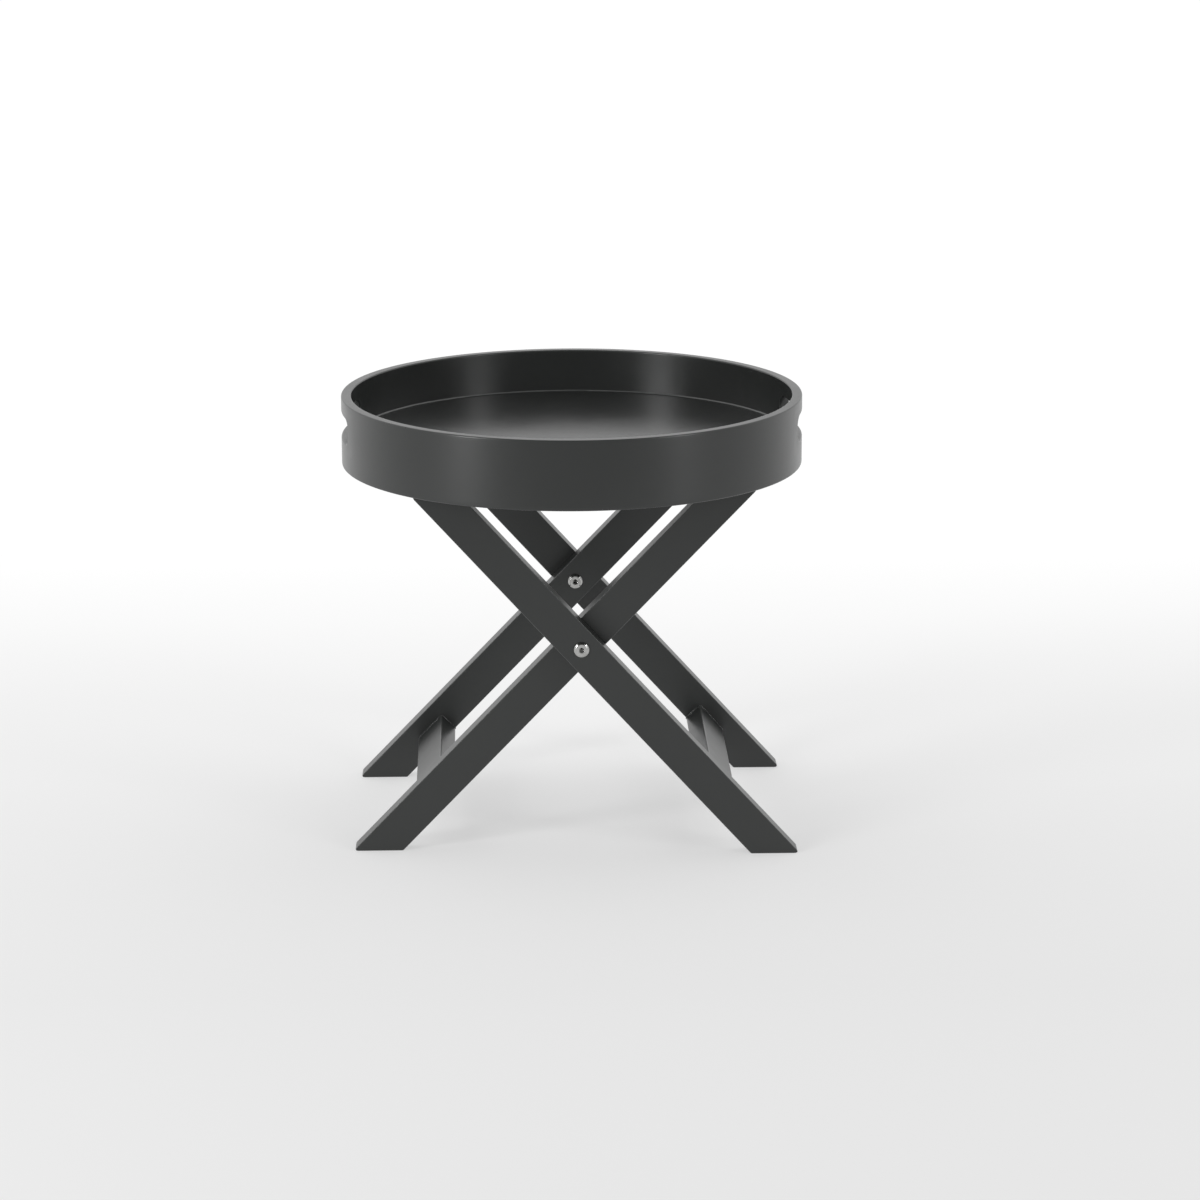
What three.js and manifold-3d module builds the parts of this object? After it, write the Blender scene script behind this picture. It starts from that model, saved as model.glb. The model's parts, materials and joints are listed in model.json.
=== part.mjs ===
// Round folding tray table: a lipped tray resting on a cross-legged stand of two hinged frames.
// Millimetres, +Z up. The tray's axis is the Z axis and the feet stand on Z = 0.
// The outer frame's legs top out at -X and foot at +X; the inner frame's legs run the other way.

import * as THREE from "three";
import { mergeVertices } from "three/addons/utils/BufferGeometryUtils.js";
import Module from "manifold-3d";

// ---- Overall sizes ----
const TABLE_HEIGHT = 472;
const TRAY_DIAMETER = 500;
const TRAY_RADIUS = TRAY_DIAMETER / 2;
const STAND_DEPTH = 345; // over the outer faces of the outer frame
const FOOT_SPREAD = 427.2; // between the middles of the two frames' feet

// ---- Tray ----
const WALL_HEIGHT = 75;
const WALL_THICKNESS = 11;
const TRAY_DEPTH = 47.5; // rim down to the floor panel
const FLOOR_THICKNESS = 8;
const LEDGE_WIDTH = 5; // step inside the wall that carries the floor panel
const RIM_ROUND = 2.5;
const LOWER_EDGE_ROUND = 1.5;
const SLOT_LENGTH = 130;
const SLOT_HEIGHT = 28;
const SLOT_BELOW_RIM = 17.3;

// ---- Legs and rails ----
const LEG_WIDTH = 39;
const LEG_THICKNESS = 22;
const LEG_CORNER_ROUND = 2.5;
const EDGE_ROUND = 1.5;
const FRAME_GAP = 2; // between a leg of one frame and the leg of the other it crosses
const LEG_TOP_INSET = 5.5; // top outer corner of every leg, in from the tray's edge
const RAIL_THICKNESS = 22;
const BOTTOM_RAIL_WIDTH = 39;
const BOTTOM_RAIL_FROM_FOOT = 60.5; // along the leg
const TOP_RAIL_WIDTH = 32;

// ---- Joinery and hardware ----
const CLEARANCE = 0.3; // between two pieces that touch
const DOWEL_DIAMETER = 8;
const DOWEL_LENGTH = 30;
const DOWEL_CHAMFER = 1;
const DOWEL_FROM_RAIL_EDGE = 9;
const PIVOT_BORE = 10;
const BOLT_DIAMETER = 6;
const BOLT_LENGTH = 30;
const HEAD_DIAMETER = 16.5;
const HEAD_FLAT_DIAMETER = 12.4;
const HEAD_HEIGHT = 2.8;
const HEAD_RIM_HEIGHT = 1.2; // straight part of the head, below the bevel
const HEX_KEY = 5; // across flats
const HEX_DEPTH = 4;
const SLEEVE_SHORT_OF_STACK = 4;
const SLEEVE_BLIND_LENGTH = 12; // solid end of the sleeve nut, under its head
const WASHER_DIAMETER = 18;

// ---- Tray battens ----
const BATTEN_WIDTH = 38;
const BATTEN_LIP_DROP = 8; // the lip hangs this far below the leg tops
const BATTEN_LIP_WIDTH = 10;
const BATTEN_END_GAP = 2.5; // to the legs on either side
const SCREW_DIAMETER = 4;
const SCREW_HEAD_DIAMETER = 8;
const SCREW_HEAD_HEIGHT = 2.4;
const SCREW_RECESS = 0.6;
const SCREW_COVER = 2.5; // floor panel left above the screw tip
const SCREW_POINT = 3;
const SCREW_FROM_BATTEN_END = 30;

// ---- Smoothness ----
const RING_SEGMENTS = 112;
const ROUND_SEGMENTS = 28;
const DOWEL_SEGMENTS = 20;
const SLOT_END_SEGMENTS = 12;
const ARC_SEGMENTS = 3;

// ---- Working values ----
const TOOL_OVERSHOOT = 1; // how far a cutting tool runs past the face it opens
const RUN_PASSES = 12; // repeats after which a leg's run no longer changes
const MERGE_DISTANCE = 1e-4;

// ---- Worked out from the sizes above ----
const TRAY_BOTTOM = TABLE_HEIGHT - WALL_HEIGHT;
const FLOOR_TOP = TABLE_HEIGHT - TRAY_DEPTH;
const FLOOR_BOTTOM = FLOOR_TOP - FLOOR_THICKNESS;
const LEDGE_TOP = FLOOR_BOTTOM - CLEARANCE;
const WALL_INNER_RADIUS = TRAY_RADIUS - WALL_THICKNESS;
const LEG_TOP = TRAY_BOTTOM - CLEARANCE;
const OUTER_LEG_FACE = STAND_DEPTH / 2;
const INNER_LEG_FACE = OUTER_LEG_FACE - LEG_THICKNESS - FRAME_GAP;
const OUTER_RUN = legRun(OUTER_LEG_FACE);
const INNER_RUN = legRun(INNER_LEG_FACE);
const PIVOT_Z = (FOOT_SPREAD * LEG_TOP) / (OUTER_RUN + INNER_RUN);
const PIVOT_X = FOOT_SPREAD / 2 - (PIVOT_Z * OUTER_RUN) / LEG_TOP;
const STACK = OUTER_LEG_FACE - (INNER_LEG_FACE - LEG_THICKNESS);
const RAIL_OFFSET = (RAIL_THICKNESS - LEG_WIDTH) / 2; // rails lie flush with the legs' lower edges

// Horizontal run of a leg's middle line, from its foot to its top. The top's outer corner stands
// LEG_TOP_INSET inside the tray's edge, and the leg's slope sets how wide its level cut is.
function legRun(legFace) {
  const cornerRadius = TRAY_RADIUS - LEG_TOP_INSET;
  const cornerX = Math.sqrt(cornerRadius ** 2 - legFace ** 2);
  let run = FOOT_SPREAD;
  for (let pass = 0; pass < RUN_PASSES; pass += 1) {
    const halfCut = (LEG_WIDTH / 2) * (Math.hypot(run, LEG_TOP) / LEG_TOP);
    run = FOOT_SPREAD / 2 + cornerX - halfCut;
  }
  return run;
}

const wasm = await Module();
wasm.setup();

// ---- Materials ----
const paint = () =>
  new THREE.MeshStandardMaterial({ color: 0x3f4241, roughness: 0.55, metalness: 0 });
const beech = () =>
  new THREE.MeshStandardMaterial({ color: 0xc9a878, roughness: 0.7, metalness: 0 });
const nickel = () =>
  new THREE.MeshStandardMaterial({ color: 0xb9bab8, roughness: 0.3, metalness: 1 });
const zinc = () =>
  new THREE.MeshStandardMaterial({ color: 0xa7a9a6, roughness: 0.4, metalness: 1 });
const nylon = () =>
  new THREE.MeshStandardMaterial({ color: 0x1d1e1e, roughness: 0.5, metalness: 0 });

// ---- Solids ----

// A geometry as a closed solid that booleans can work on.
function solidOf(geometry) {
  const bare = geometry.index ? geometry.toNonIndexed() : geometry.clone();
  bare.deleteAttribute("normal");
  bare.deleteAttribute("uv");
  const merged = mergeVertices(bare, MERGE_DISTANCE);
  return new wasm.Manifold(
    new wasm.Mesh({
      numProp: 3,
      vertProperties: merged.attributes.position.array,
      triVerts: new Uint32Array(merged.index.array),
    }),
  );
}

// Back from a solid to a flat-shaded geometry.
function geometryOf(solid) {
  const mesh = solid.getMesh();
  const positions = new Float32Array(mesh.numVert * 3);
  for (let i = 0; i < mesh.numVert; i += 1) {
    const start = i * mesh.numProp;
    positions.set(mesh.vertProperties.subarray(start, start + 3), i * 3);
  }
  const geometry = new THREE.BufferGeometry();
  geometry.setAttribute("position", new THREE.BufferAttribute(positions, 3));
  geometry.setIndex(new THREE.BufferAttribute(mesh.triVerts, 1));
  const flat = geometry.toNonIndexed();
  flat.computeVertexNormals();
  return flat;
}

// A body with every tool in the list cut out of it.
function cut(body, tools) {
  const solid = tools.reduce((left, tool) => left.subtract(solidOf(tool)), solidOf(body));
  return geometryOf(solid);
}

// A closed outline, drawn anticlockwise, with each corner rounded to an arc.
function roundedShape(corners, radius) {
  const shape = new THREE.Shape();
  corners.forEach((corner, i) => {
    const towards = (other) => other.clone().sub(corner).normalize();
    const before = towards(corners[(i + corners.length - 1) % corners.length]);
    const after = towards(corners[(i + 1) % corners.length]);
    const halfOpening = before.angleTo(after) / 2;
    const inwards = before.clone().add(after).normalize();
    const centre = corner.clone().addScaledVector(inwards, radius / Math.sin(halfOpening));
    const reach = radius / Math.tan(halfOpening);
    const start = corner.clone().addScaledVector(before, reach).sub(centre);
    const end = corner.clone().addScaledVector(after, reach).sub(centre);
    shape.absarc(centre.x, centre.y, radius, start.angle(), end.angle(), false);
  });
  shape.closePath();
  return shape;
}

// A shape drawn in X and Z, run along Y and centred on y = 0.
function extrudeAlongY(shape, length, rounding) {
  const geometry = new THREE.ExtrudeGeometry(shape, {
    depth: length - 2 * rounding,
    curveSegments: ARC_SEGMENTS,
    bevelEnabled: rounding > 0,
    bevelThickness: rounding,
    bevelSize: rounding,
    bevelOffset: -rounding,
    bevelSegments: ARC_SEGMENTS,
  });
  geometry.translate(0, 0, rounding - length / 2);
  geometry.rotateX(Math.PI / 2);
  return geometry;
}

// A round tool along Y, centred on (x, y, z).
function roundHole(diameter, length, x, y, z) {
  const geometry = new THREE.CylinderGeometry(diameter / 2, diameter / 2, length, ROUND_SEGMENTS);
  geometry.translate(x, y, z);
  return geometry;
}

// A turned piece about Y from [radius, height] pairs that start and end on the axis.
function turned(profile, segments = ROUND_SEGMENTS) {
  const points = profile.map(([radius, height]) => new THREE.Vector2(radius, height));
  return new THREE.LatheGeometry(points, segments);
}

function node(name, geometry, material) {
  const mesh = new THREE.Mesh(geometry, material);
  mesh.name = name;
  return mesh;
}

// ---- One frame of the stand ----
// Inside a frame's own group X runs up the leg from the pivot, Z points to the leg's upper edge
// and Y runs across the frame.

// Places along a leg where a level plane at a given height meets a line offset from its middle.
function along(lean, height, offset) {
  return (height - PIVOT_Z - offset * Math.cos(lean)) / Math.sin(lean);
}

function bottomRailMiddle(lean) {
  return along(lean, 0, 0) + BOTTOM_RAIL_FROM_FOOT + BOTTOM_RAIL_WIDTH / 2;
}

function topRailMiddle(lean) {
  const upperFace = RAIL_OFFSET + RAIL_THICKNESS / 2;
  return along(lean, LEG_TOP, upperFace) - TOP_RAIL_WIDTH / 2;
}

// Dowel places, in the frame's X, for a rail of a given width.
function dowelPlaces(railMiddle, railWidth) {
  const reach = railWidth / 2 - DOWEL_FROM_RAIL_EDGE;
  return [railMiddle - reach, railMiddle + reach];
}

// A leg centred on y = 0, drilled on the side that `inward` (+1 or -1 in Y) points to.
function legGeometry(lean, inward) {
  const half = LEG_WIDTH / 2;
  const corners = [
    new THREE.Vector2(along(lean, 0, -half), -half),
    new THREE.Vector2(along(lean, LEG_TOP, -half), -half),
    new THREE.Vector2(along(lean, LEG_TOP, half), half),
    new THREE.Vector2(along(lean, 0, half), half),
  ];
  const shape = roundedShape(corners, LEG_CORNER_ROUND);
  const body = extrudeAlongY(shape, LEG_THICKNESS, EDGE_ROUND);
  const holeLength = DOWEL_LENGTH / 2 + CLEARANCE;
  const holeY = inward * (LEG_THICKNESS / 2 - holeLength / 2 + CLEARANCE / 2);
  const places = [
    ...dowelPlaces(bottomRailMiddle(lean), BOTTOM_RAIL_WIDTH),
    ...dowelPlaces(topRailMiddle(lean), TOP_RAIL_WIDTH),
  ];
  const dowelHoles = places.map((x) =>
    roundHole(DOWEL_DIAMETER + 2 * CLEARANCE, holeLength + CLEARANCE, x, holeY, RAIL_OFFSET),
  );
  const pivotHoleLength = LEG_THICKNESS + 2 * TOOL_OVERSHOOT;
  return cut(body, [roundHole(PIVOT_BORE, pivotHoleLength, 0, 0, 0), ...dowelHoles]);
}

// A rail between two legs, drilled for dowels at both ends.
function railGeometry(middle, width, length) {
  const low = RAIL_OFFSET - RAIL_THICKNESS / 2;
  const high = RAIL_OFFSET + RAIL_THICKNESS / 2;
  const corners = [
    new THREE.Vector2(middle - width / 2, low),
    new THREE.Vector2(middle + width / 2, low),
    new THREE.Vector2(middle + width / 2, high),
    new THREE.Vector2(middle - width / 2, high),
  ];
  const body = extrudeAlongY(roundedShape(corners, EDGE_ROUND), length, 0);
  const holeLength = DOWEL_LENGTH / 2 + CLEARANCE;
  const holes = [];
  for (const end of [-1, 1]) {
    const y = end * (length / 2 - holeLength / 2 + CLEARANCE / 2);
    for (const x of dowelPlaces(middle, width)) {
      holes.push(
        roundHole(DOWEL_DIAMETER + 2 * CLEARANCE, holeLength + CLEARANCE, x, y, RAIL_OFFSET),
      );
    }
  }
  return cut(body, holes);
}

function dowelGeometry() {
  const radius = DOWEL_DIAMETER / 2;
  const half = DOWEL_LENGTH / 2 - CLEARANCE;
  return turned(
    [
      [0, -half],
      [radius - DOWEL_CHAMFER, -half],
      [radius, DOWEL_CHAMFER - half],
      [radius, half - DOWEL_CHAMFER],
      [radius - DOWEL_CHAMFER, half],
      [0, half],
    ],
    DOWEL_SEGMENTS,
  );
}

// A whole frame; `front` is the sign of the frame's own Y that points to world -Y.
function frameGroup(name, lean, legFace, front) {
  const group = new THREE.Group();
  const legY = legFace - LEG_THICKNESS / 2;
  const jointY = legFace - LEG_THICKNESS;
  for (const [place, side] of [
    ["front", front],
    ["rear", -front],
  ]) {
    const leg = node(`${name}_${place}_leg`, legGeometry(lean, -side), paint());
    leg.position.y = side * legY;
    group.add(leg);
  }
  const rails = [
    ["bottom", bottomRailMiddle(lean), BOTTOM_RAIL_WIDTH],
    ["top", topRailMiddle(lean), TOP_RAIL_WIDTH],
  ];
  for (const [level, middle, width] of rails) {
    const length = 2 * (jointY - CLEARANCE);
    group.add(node(`${name}_${level}_rail`, railGeometry(middle, width, length), paint()));
    for (const [place, side] of [
      ["front", front],
      ["rear", -front],
    ]) {
      dowelPlaces(middle, width).forEach((x, i) => {
        const dowel = node(`${name}_${level}_${place}_dowel_${i + 1}`, dowelGeometry(), beech());
        dowel.position.set(x, side * (jointY - CLEARANCE / 2), RAIL_OFFSET);
        group.add(dowel);
      });
    }
  }
  group.position.set(PIVOT_X, 0, PIVOT_Z);
  return group;
}

const outerLean = Math.atan2(LEG_TOP, OUTER_RUN);
const innerLean = Math.atan2(LEG_TOP, INNER_RUN);

const outerFrame = frameGroup("outer", outerLean, OUTER_LEG_FACE, 1);
outerFrame.rotation.set(0, -outerLean, Math.PI, "ZYX");

const innerFrame = frameGroup("inner", innerLean, INNER_LEG_FACE, -1);
innerFrame.rotation.y = -innerLean;

// ---- Pivots ----

function headProfile(under) {
  return [
    [HEAD_DIAMETER / 2, under],
    [HEAD_DIAMETER / 2, under + HEAD_RIM_HEIGHT],
    [HEAD_FLAT_DIAMETER / 2, under + HEAD_HEIGHT],
    [0, under + HEAD_HEIGHT],
  ];
}

function hexSocket(headTop) {
  const tool = new THREE.CylinderGeometry(
    HEX_KEY / Math.sqrt(3),
    HEX_KEY / Math.sqrt(3),
    2 * HEX_DEPTH,
    6,
  );
  tool.translate(0, headTop, 0);
  return tool;
}

// Head up along +Y, underside of the head at y = 0.
function boltGeometry() {
  const radius = BOLT_DIAMETER / 2;
  const body = turned([[0, -BOLT_LENGTH], [radius, -BOLT_LENGTH], [radius, 0], ...headProfile(0)]);
  return cut(body, [hexSocket(HEAD_HEIGHT)]);
}

function sleeveNutGeometry() {
  const length = STACK - SLEEVE_SHORT_OF_STACK;
  const radius = PIVOT_BORE / 2 - CLEARANCE;
  const body = turned([[0, -length], [radius, -length], [radius, 0], ...headProfile(0)]);
  const boreLength = length - SLEEVE_BLIND_LENGTH;
  const bore = roundHole(BOLT_DIAMETER + 2 * CLEARANCE, 2 * boreLength, 0, -length, 0);
  return cut(body, [hexSocket(HEAD_HEIGHT), bore]);
}

function washerGeometry() {
  const half = FRAME_GAP / 2 - CLEARANCE;
  const inner = PIVOT_BORE / 2;
  const outer = WASHER_DIAMETER / 2;
  return turned([
    [inner, -half],
    [outer, -half],
    [outer, half],
    [inner, half],
    [inner, -half],
  ]);
}

const pivots = new THREE.Group();
for (const [place, side] of [
  ["front", -1],
  ["rear", 1],
]) {
  const bolt = node(`${place}_pivot_bolt`, boltGeometry(), nickel());
  bolt.position.y = side * (OUTER_LEG_FACE + CLEARANCE);
  bolt.rotation.x = side < 0 ? Math.PI : 0;
  const nut = node(`${place}_pivot_nut`, sleeveNutGeometry(), nickel());
  nut.position.y = side * (OUTER_LEG_FACE - STACK - CLEARANCE);
  nut.rotation.x = side < 0 ? 0 : Math.PI;
  const washer = node(`${place}_pivot_washer`, washerGeometry(), nylon());
  washer.position.y = side * (INNER_LEG_FACE + FRAME_GAP / 2);
  pivots.add(bolt, nut, washer);
}
pivots.position.set(PIVOT_X, 0, PIVOT_Z);

// ---- Tray ----

// Points of a quarter round about a centre, between two directions given in quarter turns.
function quarterRound(centreRadius, centreHeight, radius, from, to) {
  const points = [];
  for (let i = 0; i <= ARC_SEGMENTS; i += 1) {
    const angle = ((from + ((to - from) * i) / ARC_SEGMENTS) * Math.PI) / 2;
    points.push([
      centreRadius + radius * Math.cos(angle),
      centreHeight + radius * Math.sin(angle),
    ]);
  }
  return points;
}

// A round-ended slot through the wall on the side that `side` (+1 or -1 in X) points to.
function slotTool(side) {
  const radius = SLOT_HEIGHT / 2;
  const reach = SLOT_LENGTH / 2 - radius;
  const shape = new THREE.Shape();
  shape.absarc(reach, 0, radius, -Math.PI / 2, Math.PI / 2, false);
  shape.absarc(-reach, 0, radius, Math.PI / 2, (3 * Math.PI) / 2, false);
  shape.closePath();
  const middleRadius = TRAY_RADIUS - WALL_THICKNESS / 2;
  const innerReach = Math.sqrt((WALL_INNER_RADIUS - LEDGE_WIDTH) ** 2 - (SLOT_LENGTH / 2) ** 2);
  const depth = 2 * (middleRadius - innerReach + TOOL_OVERSHOOT);
  const tool = new THREE.ExtrudeGeometry(shape, {
    depth,
    curveSegments: SLOT_END_SEGMENTS,
    bevelEnabled: false,
  });
  tool.translate(0, 0, -depth / 2);
  tool.rotateX(Math.PI / 2);
  tool.rotateZ(Math.PI / 2);
  tool.translate(
    side * middleRadius,
    0,
    TABLE_HEIGHT - SLOT_BELOW_RIM - radius,
  );
  return tool;
}

function wallGeometry() {
  const ledgeRadius = WALL_INNER_RADIUS - LEDGE_WIDTH;
  const profile = [
    [ledgeRadius, TRAY_BOTTOM],
    ...quarterRound(
      TRAY_RADIUS - LOWER_EDGE_ROUND,
      TRAY_BOTTOM + LOWER_EDGE_ROUND,
      LOWER_EDGE_ROUND,
      -1,
      0,
    ),
    ...quarterRound(TRAY_RADIUS - RIM_ROUND, TABLE_HEIGHT - RIM_ROUND, RIM_ROUND, 0, 1),
    ...quarterRound(WALL_INNER_RADIUS + RIM_ROUND, TABLE_HEIGHT - RIM_ROUND, RIM_ROUND, 1, 2),
    [WALL_INNER_RADIUS, LEDGE_TOP],
    [ledgeRadius, LEDGE_TOP],
    [ledgeRadius, TRAY_BOTTOM],
  ];
  const ring = turned(profile, RING_SEGMENTS);
  ring.rotateX(Math.PI / 2);
  return cut(ring, [slotTool(-1), slotTool(1)]);
}

// Where a batten meets its frame: the upper corner of the top rail, and the slope of its end face.
function railCorner(lean, direction) {
  const upperFace = RAIL_OFFSET + RAIL_THICKNESS / 2;
  const s = along(lean, LEG_TOP, upperFace);
  const x = PIVOT_X + direction * (s * Math.cos(lean) - upperFace * Math.sin(lean));
  return { x, slope: Math.tan(lean) };
}

// Both battens lie along Y under the floor panel. Each has a lip that hooks down outside the top
// rail, so the frame cannot spread; `direction` is +1 or -1, the way outwards in X.
function battenOutline(lean, direction) {
  const corner = railCorner(lean, direction);
  const bevelStart = corner.x + direction * CLEARANCE;
  const lipStart = bevelStart + direction * BATTEN_LIP_DROP * corner.slope;
  const outside = lipStart + direction * BATTEN_LIP_WIDTH;
  const inside = outside - direction * BATTEN_WIDTH;
  return { bevelStart, lipStart, outside, inside };
}

function screwPlaces(length) {
  const reach = length / 2 - SCREW_FROM_BATTEN_END;
  return [-reach, 0, reach];
}

const SCREW_HEAD_Z = TRAY_BOTTOM + SCREW_RECESS;
const SCREW_TIP_Z = FLOOR_TOP - SCREW_COVER;

// Head at z = 0, pointing up along +Z.
function screwGeometry() {
  const length = SCREW_TIP_Z - SCREW_HEAD_Z;
  const shank = SCREW_DIAMETER / 2;
  const geometry = turned([
    [0, 0],
    [SCREW_HEAD_DIAMETER / 2, 0],
    [shank, SCREW_HEAD_HEIGHT],
    [shank, length - SCREW_POINT],
    [0, length],
  ]);
  geometry.rotateX(Math.PI / 2);
  return geometry;
}

// The space a screw takes, with clearance, from under the batten up to its tip.
function screwTool(x, y) {
  const head = SCREW_HEAD_DIAMETER / 2 + CLEARANCE;
  const shank = SCREW_DIAMETER / 2 + CLEARANCE;
  const geometry = turned([
    [0, -SCREW_RECESS - TOOL_OVERSHOOT],
    [head, -SCREW_RECESS - TOOL_OVERSHOOT],
    [head, 0],
    [shank, SCREW_HEAD_HEIGHT],
    [shank, SCREW_TIP_Z - SCREW_HEAD_Z + CLEARANCE],
    [0, SCREW_TIP_Z - SCREW_HEAD_Z + CLEARANCE],
  ]);
  geometry.rotateX(Math.PI / 2);
  geometry.translate(x, y, SCREW_HEAD_Z);
  return geometry;
}

const tray = new THREE.Group();
tray.add(node("tray_wall", wallGeometry(), paint()));

const screwTools = [];
for (const [name, lean, direction, legFace] of [
  ["outer", outerLean, -1, OUTER_LEG_FACE],
  ["inner", innerLean, 1, INNER_LEG_FACE],
]) {
  const { bevelStart, lipStart, outside, inside } = battenOutline(lean, direction);
  const lipBottom = TRAY_BOTTOM - BATTEN_LIP_DROP;
  const corners = [
    [inside, LEDGE_TOP],
    [inside, TRAY_BOTTOM],
    [bevelStart, TRAY_BOTTOM],
    [lipStart, lipBottom],
    [outside, lipBottom],
    [outside, LEDGE_TOP],
  ];
  if (direction < 0) {
    corners.reverse();
  }
  const shape = new THREE.Shape(corners.map(([x, z]) => new THREE.Vector2(x, z)));
  const length = 2 * (legFace - LEG_THICKNESS - BATTEN_END_GAP);
  const screwX = (inside + bevelStart) / 2;
  const tools = screwPlaces(length).map((y) => screwTool(screwX, y));
  screwTools.push(...tools);
  tray.add(node(`${name}_batten`, cut(extrudeAlongY(shape, length, 0), tools), paint()));
  screwPlaces(length).forEach((y, i) => {
    const screw = node(`${name}_batten_screw_${i + 1}`, screwGeometry(), zinc());
    screw.position.set(screwX, y, SCREW_HEAD_Z);
    tray.add(screw);
  });
}

function floorGeometry() {
  const radius = WALL_INNER_RADIUS - CLEARANCE;
  const panel = turned(
    [
      [0, FLOOR_BOTTOM],
      [radius, FLOOR_BOTTOM],
      [radius, FLOOR_TOP],
      [0, FLOOR_TOP],
    ],
    RING_SEGMENTS,
  );
  panel.rotateX(Math.PI / 2);
  return cut(panel, screwTools);
}

tray.add(node("tray_floor", floorGeometry(), paint()));

const table = new THREE.Group();
table.add(outerFrame, innerFrame, pivots, tray);

export default table;
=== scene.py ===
# %% [markdown]
# # A folding tray table in charcoal paint
# The table is a round tray that rests on two hinged frames of square-edged legs. The frame of
# the model comes ready made: it holds every piece at its true size, in metres, and the joints.
# This lesson builds the pieces again with eased edges, lips of filler and turned metal, paints
# them, and lights them on a pale floor. Loading the frame first means that every later piece is
# placed from it, and nothing has to be fitted by eye.

# %% Load the frame
import json
import math

import bmesh
import bpy
from mathutils import Matrix, Vector, noise


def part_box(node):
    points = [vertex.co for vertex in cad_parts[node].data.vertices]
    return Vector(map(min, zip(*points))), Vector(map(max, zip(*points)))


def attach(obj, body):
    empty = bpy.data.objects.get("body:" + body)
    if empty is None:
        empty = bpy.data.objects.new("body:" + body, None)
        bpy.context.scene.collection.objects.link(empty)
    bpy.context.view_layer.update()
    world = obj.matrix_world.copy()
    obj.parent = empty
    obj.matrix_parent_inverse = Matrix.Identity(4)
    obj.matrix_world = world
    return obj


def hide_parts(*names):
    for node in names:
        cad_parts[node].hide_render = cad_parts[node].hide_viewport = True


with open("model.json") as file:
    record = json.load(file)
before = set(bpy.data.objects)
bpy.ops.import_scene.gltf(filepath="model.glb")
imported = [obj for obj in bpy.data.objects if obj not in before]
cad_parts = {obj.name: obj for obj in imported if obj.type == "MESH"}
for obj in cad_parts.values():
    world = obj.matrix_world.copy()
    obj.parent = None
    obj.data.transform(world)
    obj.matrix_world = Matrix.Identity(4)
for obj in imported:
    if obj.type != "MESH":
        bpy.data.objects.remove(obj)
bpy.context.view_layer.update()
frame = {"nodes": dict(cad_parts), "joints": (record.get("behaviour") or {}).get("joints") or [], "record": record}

MM = 0.001

# %% [markdown]
# ## Where the pieces are
# The tray's axis is the Z axis. The two frames turn about one pivot line, which runs along Y.
# The pivot and the middles of the feet are written in the frame's record, so the slope of each
# frame is read from them. A slope that was typed in twice would soon disagree with itself.

# %% Read the main places
wall_low, wall_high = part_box("tray_wall")
floor_low, floor_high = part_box("tray_floor")
TRAY_RADIUS = wall_high.x
RIM = wall_high.z
TRAY_BOTTOM = wall_low.z
LEG_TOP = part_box("outer_front_leg")[1].z

pivot = Vector(next(j for j in frame["joints"] if j["name"] == "stand_fold")["pos_m"])
mount_places = {m["name"]: Vector(m["pos_m"]) for m in frame["record"]["mounts"]}


def lean_of(frame_name):
    foot = mount_places[f"{frame_name}_front_foot"]
    return math.atan2(pivot.z, abs(foot.x - pivot.x))


lean = {name: lean_of(name) for name in ("outer", "inner")}
print("rim at", round(RIM, 4))
print("leans", {name: round(math.degrees(slope), 2) for name, slope in lean.items()})

# %% [markdown]
# ## Camera
# A long lens a few metres off keeps the legs nearly parallel and still shows the tray's floor.
# The camera is turned by its own three axes: forward, right and up. Building the matrix from
# them is safer than Euler angles, whose order is easy to get wrong.

# %% Set up the camera
CAMERA_PLACE = Vector((-0.094156, -4.496356, 1.389600))
CAMERA_YAW = 0.02766
CAMERA_PITCH = -0.2505
CAMERA_ROLL = -0.00242
CAMERA_LENS = 126.736
SENSOR_WIDTH = 36
FAR_END = 100

forward = Vector((
    math.sin(CAMERA_YAW) * math.cos(CAMERA_PITCH),
    math.cos(CAMERA_YAW) * math.cos(CAMERA_PITCH),
    math.sin(CAMERA_PITCH),
))
level_right = forward.cross(Vector((0, 0, 1))).normalized()
level_up = level_right.cross(forward)
right = level_right * math.cos(CAMERA_ROLL) + level_up * math.sin(CAMERA_ROLL)
up = right.cross(forward)

camera_data = bpy.data.cameras.new("portrait_camera")
camera_data.lens = CAMERA_LENS
camera_data.sensor_width = SENSOR_WIDTH
camera_data.clip_end = FAR_END
camera = bpy.data.objects.new("portrait_camera", camera_data)
camera_axes = Matrix((right, up, -forward)).transposed().to_4x4()
camera.matrix_world = Matrix.Translation(CAMERA_PLACE) @ camera_axes
bpy.context.scene.collection.objects.link(camera)
bpy.context.scene.camera = camera
bpy.context.scene.view_settings.view_transform = "Standard"
print("camera looks along", tuple(round(c, 3) for c in forward))

# %% [markdown]
# ## Writing shaders as sums
# A material is a net of nodes, and most of them are arithmetic. One small class wraps a socket,
# so that `1 - mask * 0.3` adds the Math nodes by itself. Wiring each Math node by hand gives
# the same material in five times the lines.

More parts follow.
